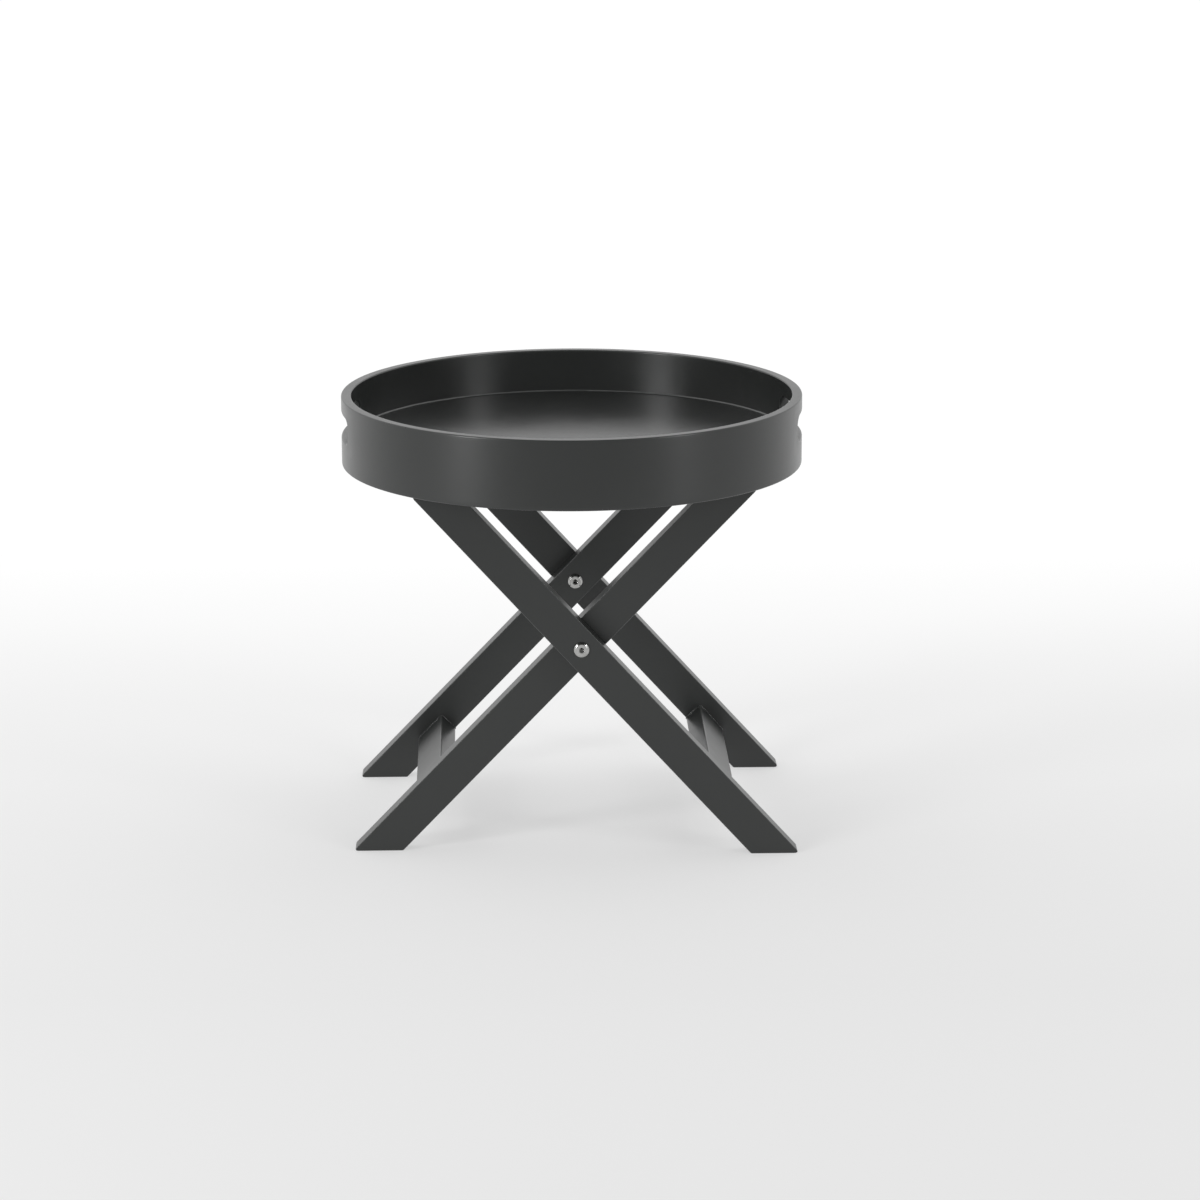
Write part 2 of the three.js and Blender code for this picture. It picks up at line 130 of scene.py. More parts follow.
# %% Wrap a socket
class Wire:
    """An output socket that can stand in a sum."""

    def __init__(self, recipe, socket):
        self.recipe = recipe
        self.socket = socket

    def sum(self, operation, *terms):
        values = dict(enumerate(terms))
        return self.recipe.node("ShaderNodeMath", {"operation": operation}, values)

    def __add__(self, other):
        return self.sum("ADD", self, other)

    def __radd__(self, other):
        return self.sum("ADD", other, self)

    def __sub__(self, other):
        return self.sum("SUBTRACT", self, other)

    def __rsub__(self, other):
        return self.sum("SUBTRACT", other, self)

    def __mul__(self, other):
        return self.sum("MULTIPLY", self, other)

    def __rmul__(self, other):
        return self.sum("MULTIPLY", other, self)

    def __pow__(self, other):
        return self.sum("POWER", self, other)

    def wave(self):
        return self.sum("SINE", self)

    def between(self, low, high):
        """0 below low, 1 above high, and smooth in between."""
        settings = {"interpolation_type": "SMOOTHSTEP"}
        values = {"Value": self, "From Min": low, "From Max": high}
        return self.recipe.node("ShaderNodeMapRange", settings, values)


print("a wire knows", [name for name in vars(Wire) if "__" not in name])

# %% [markdown]
# ## One method for every other node
# A second class holds one node tree. It makes any node from its type, its settings and what
# goes into its sockets, and the shorter methods below are the nodes that these finishes use
# most. A setting, such as a colour ramp's stops, is made before anything is plugged in, because
# it can change which sockets a node has.

# %% Hold a node tree
def set_stops(steps, stops):
    """Gives a colour ramp its grey stops, each a position from 0 to 1 and a tone."""
    steps.remove(steps[-1])
    for number, (position, tone) in enumerate(stops):
        step = steps.new(position) if number else steps[0]
        step.position = position
        step.color = (tone, tone, tone, 1)


class Recipe:
    """One node tree, and the way its nodes are made."""

    def __init__(self, owner):
        owner.use_nodes = True
        self.owner = owner
        self.tree = owner.node_tree
        self.tree.nodes.clear()

    def node(self, kind, settings=None, values=None, out=0):
        made = self.tree.nodes.new(kind)
        for name, setting in (settings or {}).items():
            if name == "stops":
                set_stops(made.color_ramp.elements, setting)
            else:
                setattr(made, name, setting)
        for name, value in (values or {}).items():
            if isinstance(value, Wire):
                self.tree.links.new(value.socket, made.inputs[name])
            else:
                made.inputs[name].default_value = value
        return Wire(self, made.outputs[out]) if len(made.outputs) else None

    def place(self, **mapping):
        """Object coordinates, shifted, turned or stretched."""
        coordinates = self.node("ShaderNodeTexCoord", out="Object")
        values = {name.capitalize(): value for name, value in mapping.items()}
        return self.node("ShaderNodeMapping", None, {"Vector": coordinates, **values})

    def axis(self, place, name):
        """The X, Y or Z of a place."""
        return self.node("ShaderNodeSeparateXYZ", None, {"Vector": place}, out=name)

    def cloud(self, place, scale, detail=2.0, rough=0.5, twist=0.0):
        """A noise from 0 to 1, with about `scale` lumps to the metre."""
        values = {"Vector": place, "Scale": scale, "Detail": detail}
        values |= {"Roughness": rough, "Distortion": twist}
        return self.node("ShaderNodeTexNoise", None, values)

    def blend(self, mask, first, second):
        """A colour between two colours."""
        settings = {"data_type": "RGBA"}
        return self.node("ShaderNodeMix", settings, {0: mask, 6: first, 7: second}, out=2)

    def bump(self, height, distance, strength):
        values = {"Height": height, "Distance": distance, "Strength": strength}
        return self.node("ShaderNodeBump", None, values)

    def coat(self, colour, roughness, normal, **even):
        """The finished material; `even` holds the numbers that are the same all over."""
        values = {"Base Color": colour, "Roughness": roughness, "Normal": normal, **even}
        return self.end(self.node("ShaderNodeBsdfPrincipled", None, values))

    def end(self, shader, kind="ShaderNodeOutputMaterial"):
        """Leads a shader to the output, and returns what the recipe was made for."""
        self.node(kind, None, {"Surface": shader})
        return self.owner


print("a recipe knows", [name for name in vars(Recipe) if "__" not in name])

# %% [markdown]
# ## Charcoal paint
# Tray, legs and rails wear the same sprayed paint: a dark, slightly green grey with a satin
# sheen. Up close sprayed paint is not flat. It has a fine orange peel, the grain of the board
# shows through a little, the colour drifts over a hand's width, and the arrises are a touch
# lighter and smoother. That lighter colour is partly wear, where the paint is thin and gets
# rubbed, and partly a painted highlight for the fine bright line an arris catches. Each of these
# is a noise at its own scale. The arrises are marked on the mesh when they are bevelled, so the
# shader reads them from there. A curvature trick would need a much denser mesh.

# %% Mix the paint
PAINT_DEEP = (0.0158, 0.0173, 0.0166, 1)
PAINT_PALE = (0.0202, 0.0221, 0.0212, 1)
PAINT_RUBBED_AND_HIGHLIT = (0.075, 0.079, 0.077, 1)
PAINT_IOR = 1.56
PEEL_SIZE = 1.6 * MM
SPECK_SIZE = 0.45 * MM
PEEL_HEIGHT = 0.018 * MM
DRIFTS_PER_METRE = 9.0
PATCHES_PER_METRE = 38.0
FIBRES_PER_METRE = 260.0


def charcoal_paint(
    name, turn=0.0, stretch=(1, 1, 1), grain=0.5, sheen=0.35, rub_and_highlight=0.9, seed=0.0,
):
    """Satin paint; `turn` lays the grain along a sloping board, and the rubbing number lightens the arrises, both
    as wear and as a painted highlight.
    """
    paint = Recipe(bpy.data.materials.new(name))
    here = paint.place(location=(seed, 0.37 * seed, -seed))
    along = paint.place(rotation=(0, turn, 0), location=(seed, seed, seed), scale=stretch)
    peel = paint.cloud(here, 1 / PEEL_SIZE, 2.0)
    speck = paint.cloud(here, 1 / SPECK_SIZE, 3.0, 0.6)
    drift = paint.cloud(here, DRIFTS_PER_METRE, 4.0, 0.55)
    patch = paint.cloud(here, PATCHES_PER_METRE, 3.0, 0.6)
    fibre = paint.cloud(along, FIBRES_PER_METRE, 4.0, 0.6)
    arris = paint.node("ShaderNodeAttribute", {"attribute_name": "arris"}, out="Fac")

    shade = (drift * 0.8 + speck * 0.35 + fibre * 0.08 - 0.115).between(0.1, 0.9)
    # Painted highlight as well as wear: the arrises take a paler, smoother paint.
    rubbed_and_highlit = arris * rub_and_highlight * (0.55 + 0.3 * patch.between(0.42, 0.66))
    colour = paint.blend(rubbed_and_highlit, paint.blend(shade, PAINT_DEEP, PAINT_PALE), PAINT_RUBBED_AND_HIGHLIT)
    roughness = sheen + (drift - 0.5) * 0.10 + (patch - 0.5) * 0.05 - rubbed_and_highlit * 0.10
    relief = paint.bump(peel * 0.6 + speck * 0.25 + fibre * grain, PEEL_HEIGHT, 0.5)
    return paint.coat(colour, roughness, relief, IOR=PAINT_IOR)


print("paint drifts over", round(1000 / DRIFTS_PER_METRE), "mm")

# %% [markdown]
# ## The same paint on each piece
# One recipe serves every painted piece. The fibres run along X on the floor panel, along Y on
# rails and battens, and up the slope on the legs. The moulded wall and the beads of filler have
# no grain, and filler takes a brighter sheen. A different seed on each keeps two neighbours
# from showing the same clouds.

# %% Paint for each piece
GRAIN_ALONG_X = (0.06, 1, 1)
GRAIN_ALONG_Y = (1, 0.06, 1)
wall_paint = charcoal_paint("wall_paint_charcoal", grain=0.0, sheen=0.30, rub_and_highlight=0.15, seed=0.3)
floor_paint = charcoal_paint(
    "floor_paint_charcoal", stretch=GRAIN_ALONG_X, grain=0.15, sheen=0.215, rub_and_highlight=0.3, seed=1.1,
)
batten_paint = charcoal_paint(
    "batten_paint_charcoal", stretch=GRAIN_ALONG_Y, grain=0.6, seed=2.7,
)
rail_paint = charcoal_paint("rail_paint_charcoal", stretch=GRAIN_ALONG_Y, grain=0.4, seed=3.9)
# Bead and filler take the paler arris colour at full strength: painted highlight as well as wear.
bead_paint = charcoal_paint("bead_paint_charcoal", grain=0.0, sheen=0.2, rub_and_highlight=1.15, seed=4.1)
filler_paint = charcoal_paint("filler_paint_charcoal", grain=0.0, sheen=0.24, rub_and_highlight=1.0, seed=7.2)
leg_paint = {
    name: charcoal_paint(f"{name}_leg_paint_charcoal", turn, GRAIN_ALONG_X, 0.4, seed=seed)
    for name, turn, seed in (("outer", -lean["outer"], 5.2), ("inner", lean["inner"], 6.4))
}
print("paints", [m.name for m in bpy.data.materials if "charcoal" in m.name])

# %% [markdown]
# ## Nickel
# The pivot bolts are nickel plated and turned, so their heads carry faint rings about the
# pivot, and small scuffs where a key has slipped. Down in the key socket the colour is darkened,
# which is painted shade for the hollow. Rings and painted shade come from the distance to the
# pivot line, which needs nothing but a Mapping node that shifts the pattern onto it.

# %% Mix the nickel
NICKEL_DULL = (0.43, 0.43, 0.42, 1)
NICKEL_BRIGHT = (0.50, 0.50, 0.49, 1)
SOCKET_PAINTED_SHADE = (0.16, 0.16, 0.155, 1)
SOCKET_DARK_TO = 2.3 * MM
SOCKET_BRIGHT_FROM = 2.9 * MM
RING_PITCH = 0.42 * MM


def turned_nickel():
    metal = Recipe(bpy.data.materials.new("pivot_nickel"))
    centred = metal.place(location=(-pivot.x, 0, -pivot.z))
    x, z = metal.axis(centred, "X"), metal.axis(centred, "Z")
    radius = (x * x + z * z) ** 0.5
    rings = (radius * (2 * math.pi / RING_PITCH)).wave()
    scuff = metal.cloud(metal.place(scale=(1, 1, 0.3)), 2400.0, 5.0, 0.7)
    bloom = metal.cloud(centred, 380.0, 3.0).between(0.3, 0.7)
    plated = metal.blend(bloom, NICKEL_DULL, NICKEL_BRIGHT)
    # Painted shade: inside the key socket the colour is darkened to stand for the shadow in the hollow.
    out_of_socket = radius.between(SOCKET_DARK_TO, SOCKET_BRIGHT_FROM)
    colour = metal.blend(out_of_socket, SOCKET_PAINTED_SHADE, plated)
    relief = metal.bump(rings * 0.5 + scuff, 0.004 * MM, 0.6)
    return metal.coat(colour, 0.12 + scuff * 0.10, relief, Metallic=1.0)


nickel = turned_nickel()
print("rings on the bolt heads", round(RING_PITCH * 1000, 2), "mm apart")

# %% [markdown]
# ## Zinc, nylon and beech
# The wood screws are duller zinc with the faint spangle of a dipped coating. The washer between
# the legs is black nylon with slow flow marks. The dowels inside the joints are bare beech:
# long fibres, and the short brown flecks that tell beech from other pale woods. One or two
# noises each are enough, because these pieces are smaller than a fingertip.

# %% Mix the zinc, the nylon and the beech
def dull_zinc():
    metal = Recipe(bpy.data.materials.new("screw_zinc"))
    spangle = metal.cloud(metal.place(), 900.0, 4.0, 0.65)
    colour = metal.blend(spangle.between(0.3, 0.7), (0.42, 0.43, 0.43, 1), (0.58, 0.59, 0.58, 1))
    relief = metal.bump(spangle, 0.02 * MM, 0.5)
    return metal.coat(colour, 0.34 + spangle * 0.2, relief, Metallic=1.0)


def black_nylon():
    plastic = Recipe(bpy.data.materials.new("washer_nylon"))
    flow = plastic.cloud(plastic.place(), 700.0, 3.0)
    colour = plastic.blend(flow, (0.010, 0.010, 0.011, 1), (0.022, 0.022, 0.023, 1))
    return plastic.coat(colour, 0.42 + flow * 0.15, plastic.bump(flow, 0.02 * MM, 0.5))


def bare_beech():
    wood = Recipe(bpy.data.materials.new("dowel_beech"))
    along = wood.place(scale=GRAIN_ALONG_Y)
    fibre = wood.cloud(along, 1400.0, 5.0, 0.65, 0.3)
    fleck = wood.cloud(along, 4200.0, 2.0).between(0.58, 0.7)
    warm = wood.blend(fibre, (0.60, 0.39, 0.20, 1), (0.74, 0.53, 0.31, 1))
    colour = wood.blend(fleck * 0.5, warm, (0.36, 0.19, 0.09, 1))
    relief = wood.bump(fibre - fleck * 0.4, 0.06 * MM, 0.6)
    return wood.coat(colour, 0.55 + fibre * 0.2, relief)


zinc, nylon, beech = dull_zinc(), black_nylon(), bare_beech()
print("small finishes", [m.name for m in (nickel, zinc, nylon, beech)])

# %% [markdown]
# ## Tools for the bench
# Every piece is shaped in a bmesh, Blender's mesh editor for scripts. `ease` rounds edges with a
# bevel and marks the new faces, so that the paint finds the arrises. `finished` merges what
# coincides, makes an object at the origin, and ties it to its moving body. Weighted normals
# keep the flat faces flat next to the soft bevels, which is cheaper than subdividing them.
# Corners harder than CREASE are kept sharp, or the shading inside a hole would leak out onto
# the face round it.

# %% Easing and finishing
CREASE = math.radians(50)
MERGE = 0.001 * MM


def arris_layer(bm):
    """One number on each face for the paint to read: 1 on an arris, 0 elsewhere."""
    return bm.faces.layers.float.get("arris") or bm.faces.layers.float.new("arris")


def ease(bm, edges, width, steps=3):
    """Rounds edges over and marks the new faces as an arris."""
    arris = arris_layer(bm)
    made = bmesh.ops.bevel(
        bm, geom=edges, offset=width, offset_type="OFFSET", segments=steps, profile=0.5,
        affect="EDGES", clamp_overlap=False, material=-1,
    )
    for face in made["faces"]:
        face[arris] = 1.0


def finished(bm, name, paint, body, replaces=()):
    bmesh.ops.remove_doubles(bm, verts=bm.verts, dist=MERGE)
    bmesh.ops.recalc_face_normals(bm, faces=bm.faces)
    for face in bm.faces:
        face.smooth = True
    for edge in bm.edges:
        edge.smooth = edge.calc_face_angle(0) < CREASE
    mesh = bpy.data.meshes.new(name)
    bm.to_mesh(mesh)
    bm.free()
    mesh.materials.append(paint)
    piece = bpy.data.objects.new(name, mesh)
    bpy.context.scene.collection.objects.link(piece)
    weighted = piece.modifiers.new("even_flats", "WEIGHTED_NORMAL")
    weighted.weight = 100
    weighted.keep_sharp = True
    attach(piece, body)
    if replaces:
        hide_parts(*replaces)
    print(name, len(mesh.polygons), "faces")


def verts_of(geometry):
    return [v for v in geometry if isinstance(v, bmesh.types.BMVert)]


def edges_of(geometry):
    return [e for e in geometry if isinstance(e, bmesh.types.BMEdge)]


print("corners over", round(math.degrees(CREASE)), "degrees stay sharp")

# %% [markdown]
# ## The tray's wall
# The wall is a hoop of bent ply, 11 mm thick, with a long hand slot at each end and a step
# inside that carries the floor panel. Cutting round-ended slots out of a curved wall with a
# boolean leaves a torn mesh that shades badly. It is easier to make it as the maker does: flat.
# A strip of grid is drawn as long as the hoop is round, the slots are let into it with clean
# rings of faces, the strip gets its thickness, its edges are eased, and only then is it bent.

# %% Draw the strip with its two slots
WALL_THICKNESS = 11 * MM
LEDGE_GAP = 0.3 * MM
LEDGE_TOP = floor_low.z - LEDGE_GAP
LEDGE_WIDTH = 5 * MM
EDGE_ROW = 6 * MM
COLUMNS = 240
SLOT_LENGTH = 129.6 * MM
SLOT_RADIUS = 13.4 * MM
SLOT_BELOW_RIM = 17.3 * MM
SLOT_MIDDLE = RIM - SLOT_BELOW_RIM - SLOT_RADIUS
WINDOW_COLUMNS = 12
WINDOW_ROWS = 6
WINDOW_HALF_HEIGHT = 22 * MM
SLOT_STRAIGHT_STEPS = 8
SLOT_END_STEPS = 7

middle_radius = TRAY_RADIUS - WALL_THICKNESS / 2
column_width = 2 * math.pi * middle_radius / COLUMNS
window_bottom = SLOT_MIDDLE - WINDOW_HALF_HEIGHT
window_step = 2 * WINDOW_HALF_HEIGHT / WINDOW_ROWS
window_heights = [window_bottom + i * window_step for i in range(WINDOW_ROWS + 1)]
row_heights = [
    TRAY_BOTTOM, TRAY_BOTTOM + EDGE_ROW, LEDGE_TOP, *window_heights, RIM - EDGE_ROW, RIM,
]
print("rows at", [round(z * 1000, 1) for z in row_heights])


def strip_of_grid():
    bm = bmesh.new()
    rows = len(row_heights) - 1
    bmesh.ops.create_grid(bm, x_segments=COLUMNS, y_segments=rows, size=0.5)
    for v in bm.verts:
        column = round((v.co.x + 0.5) * COLUMNS)
        row = round((v.co.y + 0.5) * rows)
        v.co = (column * column_width, 0, row_heights[row])
    return bm


def slot_point(column, row):
    """Where a point on the window's edge goes; column and row count from the window's middle."""
    corner = WINDOW_ROWS // 2
    at_side = abs(column) == WINDOW_COLUMNS
    step = abs(row) if at_side else corner + WINDOW_COLUMNS - abs(column)
    straight = SLOT_LENGTH / 2 - SLOT_RADIUS
    if step <= SLOT_END_STEPS:
        angle = step / SLOT_END_STEPS * math.pi / 2
        x = straight + SLOT_RADIUS * math.cos(angle)
        z = SLOT_RADIUS * math.sin(angle)
    else:
        x = straight * (1 - (step - SLOT_END_STEPS) / SLOT_STRAIGHT_STEPS)
        z = SLOT_RADIUS
    return math.copysign(x, column), math.copysign(z, row)


def let_in_slot(bm, middle_column):
    """Opens a window in the grid and draws its edge in to a slot with round ends."""
    middle = middle_column * column_width
    half = WINDOW_COLUMNS * column_width
    inside = [
        f for f in bm.faces
        if abs(f.calc_center_median().x - middle) < half
        and abs(f.calc_center_median().z - SLOT_MIDDLE) < WINDOW_HALF_HEIGHT
    ]
    window = [e for f in inside for e in f.edges if sum(g in inside for g in e.link_faces) == 1]
    bmesh.ops.delete(bm, geom=inside, context="FACES")
    drawn_in = bmesh.ops.extrude_edge_only(bm, edges=window)
    for v in verts_of(drawn_in["geom"]):
        column = round((v.co.x - middle) / column_width)
        row = round((v.co.z - SLOT_MIDDLE) / window_step)
        x, z = slot_point(column, row)
        v.co = (middle + x, 0, SLOT_MIDDLE + z)


strip = strip_of_grid()
for middle_column in (COLUMNS // 4, 3 * COLUMNS // 4):
    let_in_slot(strip, middle_column)
bmesh.ops.recalc_face_normals(strip, faces=strip.faces)
print("strip", len(strip.faces), "faces")

# %% [markdown]
# ## Thickness, ledge and eased edges
# Extruding the whole strip gives it its thickness, and extruding the lower rows of its inner
# skin gives the ledge. The faces that a ledge grows from stay behind inside it, so they are
# deleted. The slot is rounded well over, because fingers go there, the rim and the lower edge
# a little less, and the ledge hardly at all. Bending comes last: the distance along the strip
# becomes an angle, and the depth in the strip becomes a radius.

# %% Thicken the strip and grow the ledge
STRIP_LENGTH = COLUMNS * column_width
NEAR = 0.1 * MM

for v in strip.verts:
    v.co.y = WALL_THICKNESS / 2
skin = bmesh.ops.extrude_face_region(strip, geom=strip.faces[:])
bmesh.ops.translate(strip, verts=verts_of(skin["geom"]), vec=(0, -WALL_THICKNESS, 0))
inner_skin = [
    f for f in strip.faces
    if all(v.co.y < 0 for v in f.verts) and f.calc_center_median().z < LEDGE_TOP
]
ledge = bmesh.ops.extrude_face_region(strip, geom=inner_skin)
bmesh.ops.translate(strip, verts=verts_of(ledge["geom"]), vec=(0, -LEDGE_WIDTH, 0))
bmesh.ops.delete(strip, geom=inner_skin, context="FACES")


def at_end(face):
    xs = [v.co.x for v in face.verts]
    return max(xs) < NEAR or min(xs) > STRIP_LENGTH - NEAR


bmesh.ops.delete(strip, geom=[f for f in strip.faces if at_end(f)], context="FACES")
bmesh.ops.recalc_face_normals(strip, faces=strip.faces)
print("thick strip", len(strip.faces), "faces")

# %% Ease the edges and bend the wall
SLOT_EASE = 2.0 * MM
RIM_EASE = 1.5 * MM
LOWER_EASE = 1.5 * MM
LEDGE_EASE = 0.8 * MM
SHARP = math.radians(60)


def is_sharp(edge):
    return len(edge.link_faces) == 2 and edge.calc_face_angle() > SHARP


def on_slot(co):
    return abs(co.z - SLOT_MIDDLE) < SLOT_RADIUS + NEAR


def on_rim(co):
    return co.z > RIM - NEAR


def on_lower_edge(co):
    return co.z < TRAY_BOTTOM + NEAR


def on_ledge(co):
    return abs(co.z - LEDGE_TOP) < NEAR and co.y < -WALL_THICKNESS / 2 - 1 * MM


for keep, width, steps in (
    (on_slot, SLOT_EASE, 5),
    (on_rim, RIM_EASE, 4),
    (on_lower_edge, LOWER_EASE, 3),
    (on_ledge, LEDGE_EASE, 2),
):
    edges = [e for e in strip.edges if is_sharp(e) and all(keep(v.co) for v in e.verts)]
    ease(strip, edges, width, steps)
    print("eased", len(edges), "edges by", round(width * 1000, 1), "mm")

for v in strip.verts:
    angle = v.co.x / middle_radius - math.pi / 2
    radius = middle_radius + v.co.y
    v.co = (radius * math.cos(angle), radius * math.sin(angle), v.co.z)
finished(strip, "tray_wall_hoop", wall_paint, "tray", ["tray_wall"])

# %% [markdown]
# ## The floor panel
# The floor is a thin disc that lies on the ledge. A circle with a cap, extruded up by the
# panel's thickness, is all it needs, with a small bevel on both edges, where a router would
# take off the burr.

# %% Make the floor panel
PANEL_EASE = 0.6 * MM
PANEL_STEPS = 180

panel_radius = floor_high.x
panel = bmesh.new()
disc = bmesh.ops.create_circle(panel, cap_ends=True, segments=PANEL_STEPS, radius=panel_radius)
bmesh.ops.translate(panel, verts=disc["verts"], vec=(0, 0, floor_low.z))
raised = verts_of(bmesh.ops.extrude_face_region(panel, geom=panel.faces[:])["geom"])
bmesh.ops.translate(panel, verts=raised, vec=(0, 0, floor_high.z - floor_low.z))
bmesh.ops.recalc_face_normals(panel, faces=panel.faces)
ease(panel, [e for e in panel.edges if is_sharp(e)], PANEL_EASE, 2)
finished(panel, "tray_floor_panel", floor_paint, "tray", ["tray_floor"])

# %% [markdown]
# ## The bead round the floor
# Where the floor meets the wall, the painter has run a thin bead of filler, which catches the
# light as a fine broken line. Its whole surface takes the paler arris colour, a painted
# highlight that makes that line brighter. It is a small quarter round, turned right round the
# tray as on a lathe, and then nudged by a smooth noise, so that it looks laid by hand and not by
# a machine. The corner against wall and floor is not nudged, or the bead would sink into them.
# Blender starts this noise somewhere new in each session, so it is given a seed.

# %% Tools for turning and for filler
TURNED_MERGE = 0.0005 * MM
NOISE_SEED = 7
noise.seed_set(NOISE_SEED)


def turned(profile, steps):
    """A profile of (radius, height) points, spun once round the Z axis."""
    bm = bmesh.new()
    line = [bm.verts.new((radius, 0, height)) for radius, height in profile]
    for first, second in zip(line, line[1:]):
        bm.edges.new((first, second))
    bmesh.ops.spin(
        bm, geom=bm.verts[:] + bm.edges[:], cent=(0, 0, 0), axis=(0, 0, 1),
        angle=2 * math.pi, steps=steps, use_merge=True,
    )
    bmesh.ops.remove_doubles(bm, verts=bm.verts, dist=TURNED_MERGE)
    return bm


def wander(bm, amount, pitch, free):
    """Nudges vertices by a smooth noise; `free` says how far each one may go, from 0 to 1."""
    for v in bm.verts:
        v.co += noise.noise_vector(v.co / pitch) * amount * free(v.co)


def highlight_all_as_arris(bm):
    """Marks a whole piece of filler as an arris, so that it takes the paler paint: a painted highlight."""
    arris = arris_layer(bm)
    for face in bm.faces:
        face[arris] = 1.0


print("turning merges points closer than", TURNED_MERGE * 1000, "mm")

# %% Lay the bead
BEAD_SIZE = 1.25 * MM
BEAD_WANDER = 0.18 * MM
BEAD_PITCH = 11 * MM
BEAD_GAP = 0.05 * MM
BEAD_STEPS = 540

wall_inner_radius = TRAY_RADIUS - WALL_THICKNESS
back = wall_inner_radius - BEAD_GAP
base = floor_high.z + BEAD_GAP
bead = turned([
    (back, base),
    (back, base + BEAD_SIZE),
    (back - 0.35 * BEAD_SIZE, base + 0.72 * BEAD_SIZE),
    (back - 0.75 * BEAD_SIZE, base + 0.35 * BEAD_SIZE),
    (back - 1.05 * BEAD_SIZE, base),
    (back, base),
], BEAD_STEPS)


def off_the_corner(co):
    out = back - math.hypot(co.x, co.y) > NEAR
    above = co.z - base > NEAR
    return 1.0 if out or above else 0.0


wander(bead, BEAD_WANDER, BEAD_PITCH, off_the_corner)
for v in bead.verts:
    v.co.z = max(v.co.z, base)
    reach = math.hypot(v.co.x, v.co.y)
    v.co.x *= min(1, back / reach)
    v.co.y *= min(1, back / reach)
# Painted highlight: the whole bead takes the paler arris colour.
highlight_all_as_arris(bead)
finished(bead, "tray_floor_bead", bead_paint, "tray")

# %% [markdown]
# ## Legs
# A leg is a flat board with both ends cut level, so that it stands flat on the floor and flat
# under the tray. It is easiest to draw in its own directions, along the board and across it,
# and to turn it into place at the end. The lean of a frame and the level of a rail then say
# where everything sits along the board.

# %% Sizes of a leg
LEG_WIDTH = 39 * MM
TIP_RADIUS = 2.5 * MM
ARRIS = 0.7 * MM
PIVOT_BORE = 5 * MM
PIVOT_BORE_SIDES = 28
DOWEL_BORE = 4.3 * MM
DOWEL_BORE_SIDES = 20
DOWEL_DEPTH = 15.3 * MM
DOWEL_FROM_EDGE = 9 * MM
RAIL_THICKNESS = 22 * MM
BOTTOM_RAIL_WIDTH = 39 * MM
TOP_RAIL_WIDTH = 32 * MM
BOTTOM_RAIL_FROM_FOOT = 60.5 * MM
rail_offset = (RAIL_THICKNESS - LEG_WIDTH) / 2


def along(frame_name, height, offset):
    """How far up the leg from the pivot a level plane cuts a line beside its middle."""
    slope = lean[frame_name]
    return (height - pivot.z - offset * math.cos(slope)) / math.sin(slope)


def rail_span(frame_name, level):
    """Where a rail starts and stops along the leg."""
    if level == "bottom":
        start = along(frame_name, 0, 0) + BOTTOM_RAIL_FROM_FOOT
        return start, start + BOTTOM_RAIL_WIDTH
    stop = along(frame_name, LEG_TOP, rail_offset + RAIL_THICKNESS / 2)
    return stop - TOP_RAIL_WIDTH, stop


def dowel_holes(frame_name, level):
    start, stop = rail_span(frame_name, level)
    return [
        (place, rail_offset, DOWEL_BORE, DOWEL_BORE_SIDES)
        for place in (start + DOWEL_FROM_EDGE, stop - DOWEL_FROM_EDGE)
    ]


def to_place(frame_name):
    """From a frame's own directions (along, across, up off the board) to the table's."""
    slope = lean[frame_name]
    way = -1 if frame_name == "outer" else 1
    uphill = Vector((way * math.cos(slope), 0, math.sin(slope)))
    off = Vector((-way * math.sin(slope), 0, math.cos(slope)))
    turn = Matrix((uphill, off.cross(uphill), off)).transposed().to_4x4()
    return Matrix.Translation(pivot) @ turn, way


for name in lean:
    start, stop = rail_span(name, "bottom")
    print(name, "bottom rail from", round(start * 1000, 1), "to", round(stop * 1000, 1), "mm")

# %% [markdown]
# ## Sawing and drilling a board
# Legs, rails and battens are boards: an outline that is run along Y by an extrude. A hole is
# opened in a flat face by deleting the face and filling the space between its border and a
# circle. The circle's edge is then extruded down into the wood. For a hole that goes right
# through, the far face gets the same circle, the extruded edge lands on it, and the two merge.
# A boolean would leave slivers, and the bevels would have nothing clean to follow.

# %% Saw a board
def board(outline, low_y, high_y):
    """An outline drawn in X and Z, run along Y."""
    bm = bmesh.new()
    face = bm.faces.new([bm.verts.new((x, low_y, z)) for x, z in outline])
    run = bmesh.ops.extrude_face_region(bm, geom=[face])
    bmesh.ops.translate(bm, verts=verts_of(run["geom"]), vec=(0, high_y - low_y, 0))
    bmesh.ops.recalc_face_normals(bm, faces=bm.faces)
    return bm


def long_edges(bm):
    """The edges that run along Y."""
    return [e for e in bm.edges if abs(e.verts[0].co.y - e.verts[1].co.y) > 1 * MM]


def side_faces(bm):
    """The two largest faces that look along Y, the one at lower Y first."""
    flat = [f for f in bm.faces if abs(f.normal.y) > 0.99]
    largest = sorted(flat, key=lambda f: f.calc_area())[-2:]
    return sorted(largest, key=lambda f: f.calc_center_median().y)


trial = board([(0, 0), (1, 0), (1, 1), (0, 1)], 0, 1)
print("a plain board has", len(trial.faces), "faces and", len(long_edges(trial)), "long edges")
trial.free()

# %% Drill holes
def ring(bm, radius, sides, place):
    """The edges of a circle that looks along Y."""
    matrix = Matrix.Translation(place) @ Matrix.Rotation(math.pi / 2, 4, "X")
    made = bmesh.ops.create_circle(bm, segments=sides, radius=radius, matrix=matrix)
    return list(dict.fromkeys(e for v in made["verts"] for e in v.link_edges))


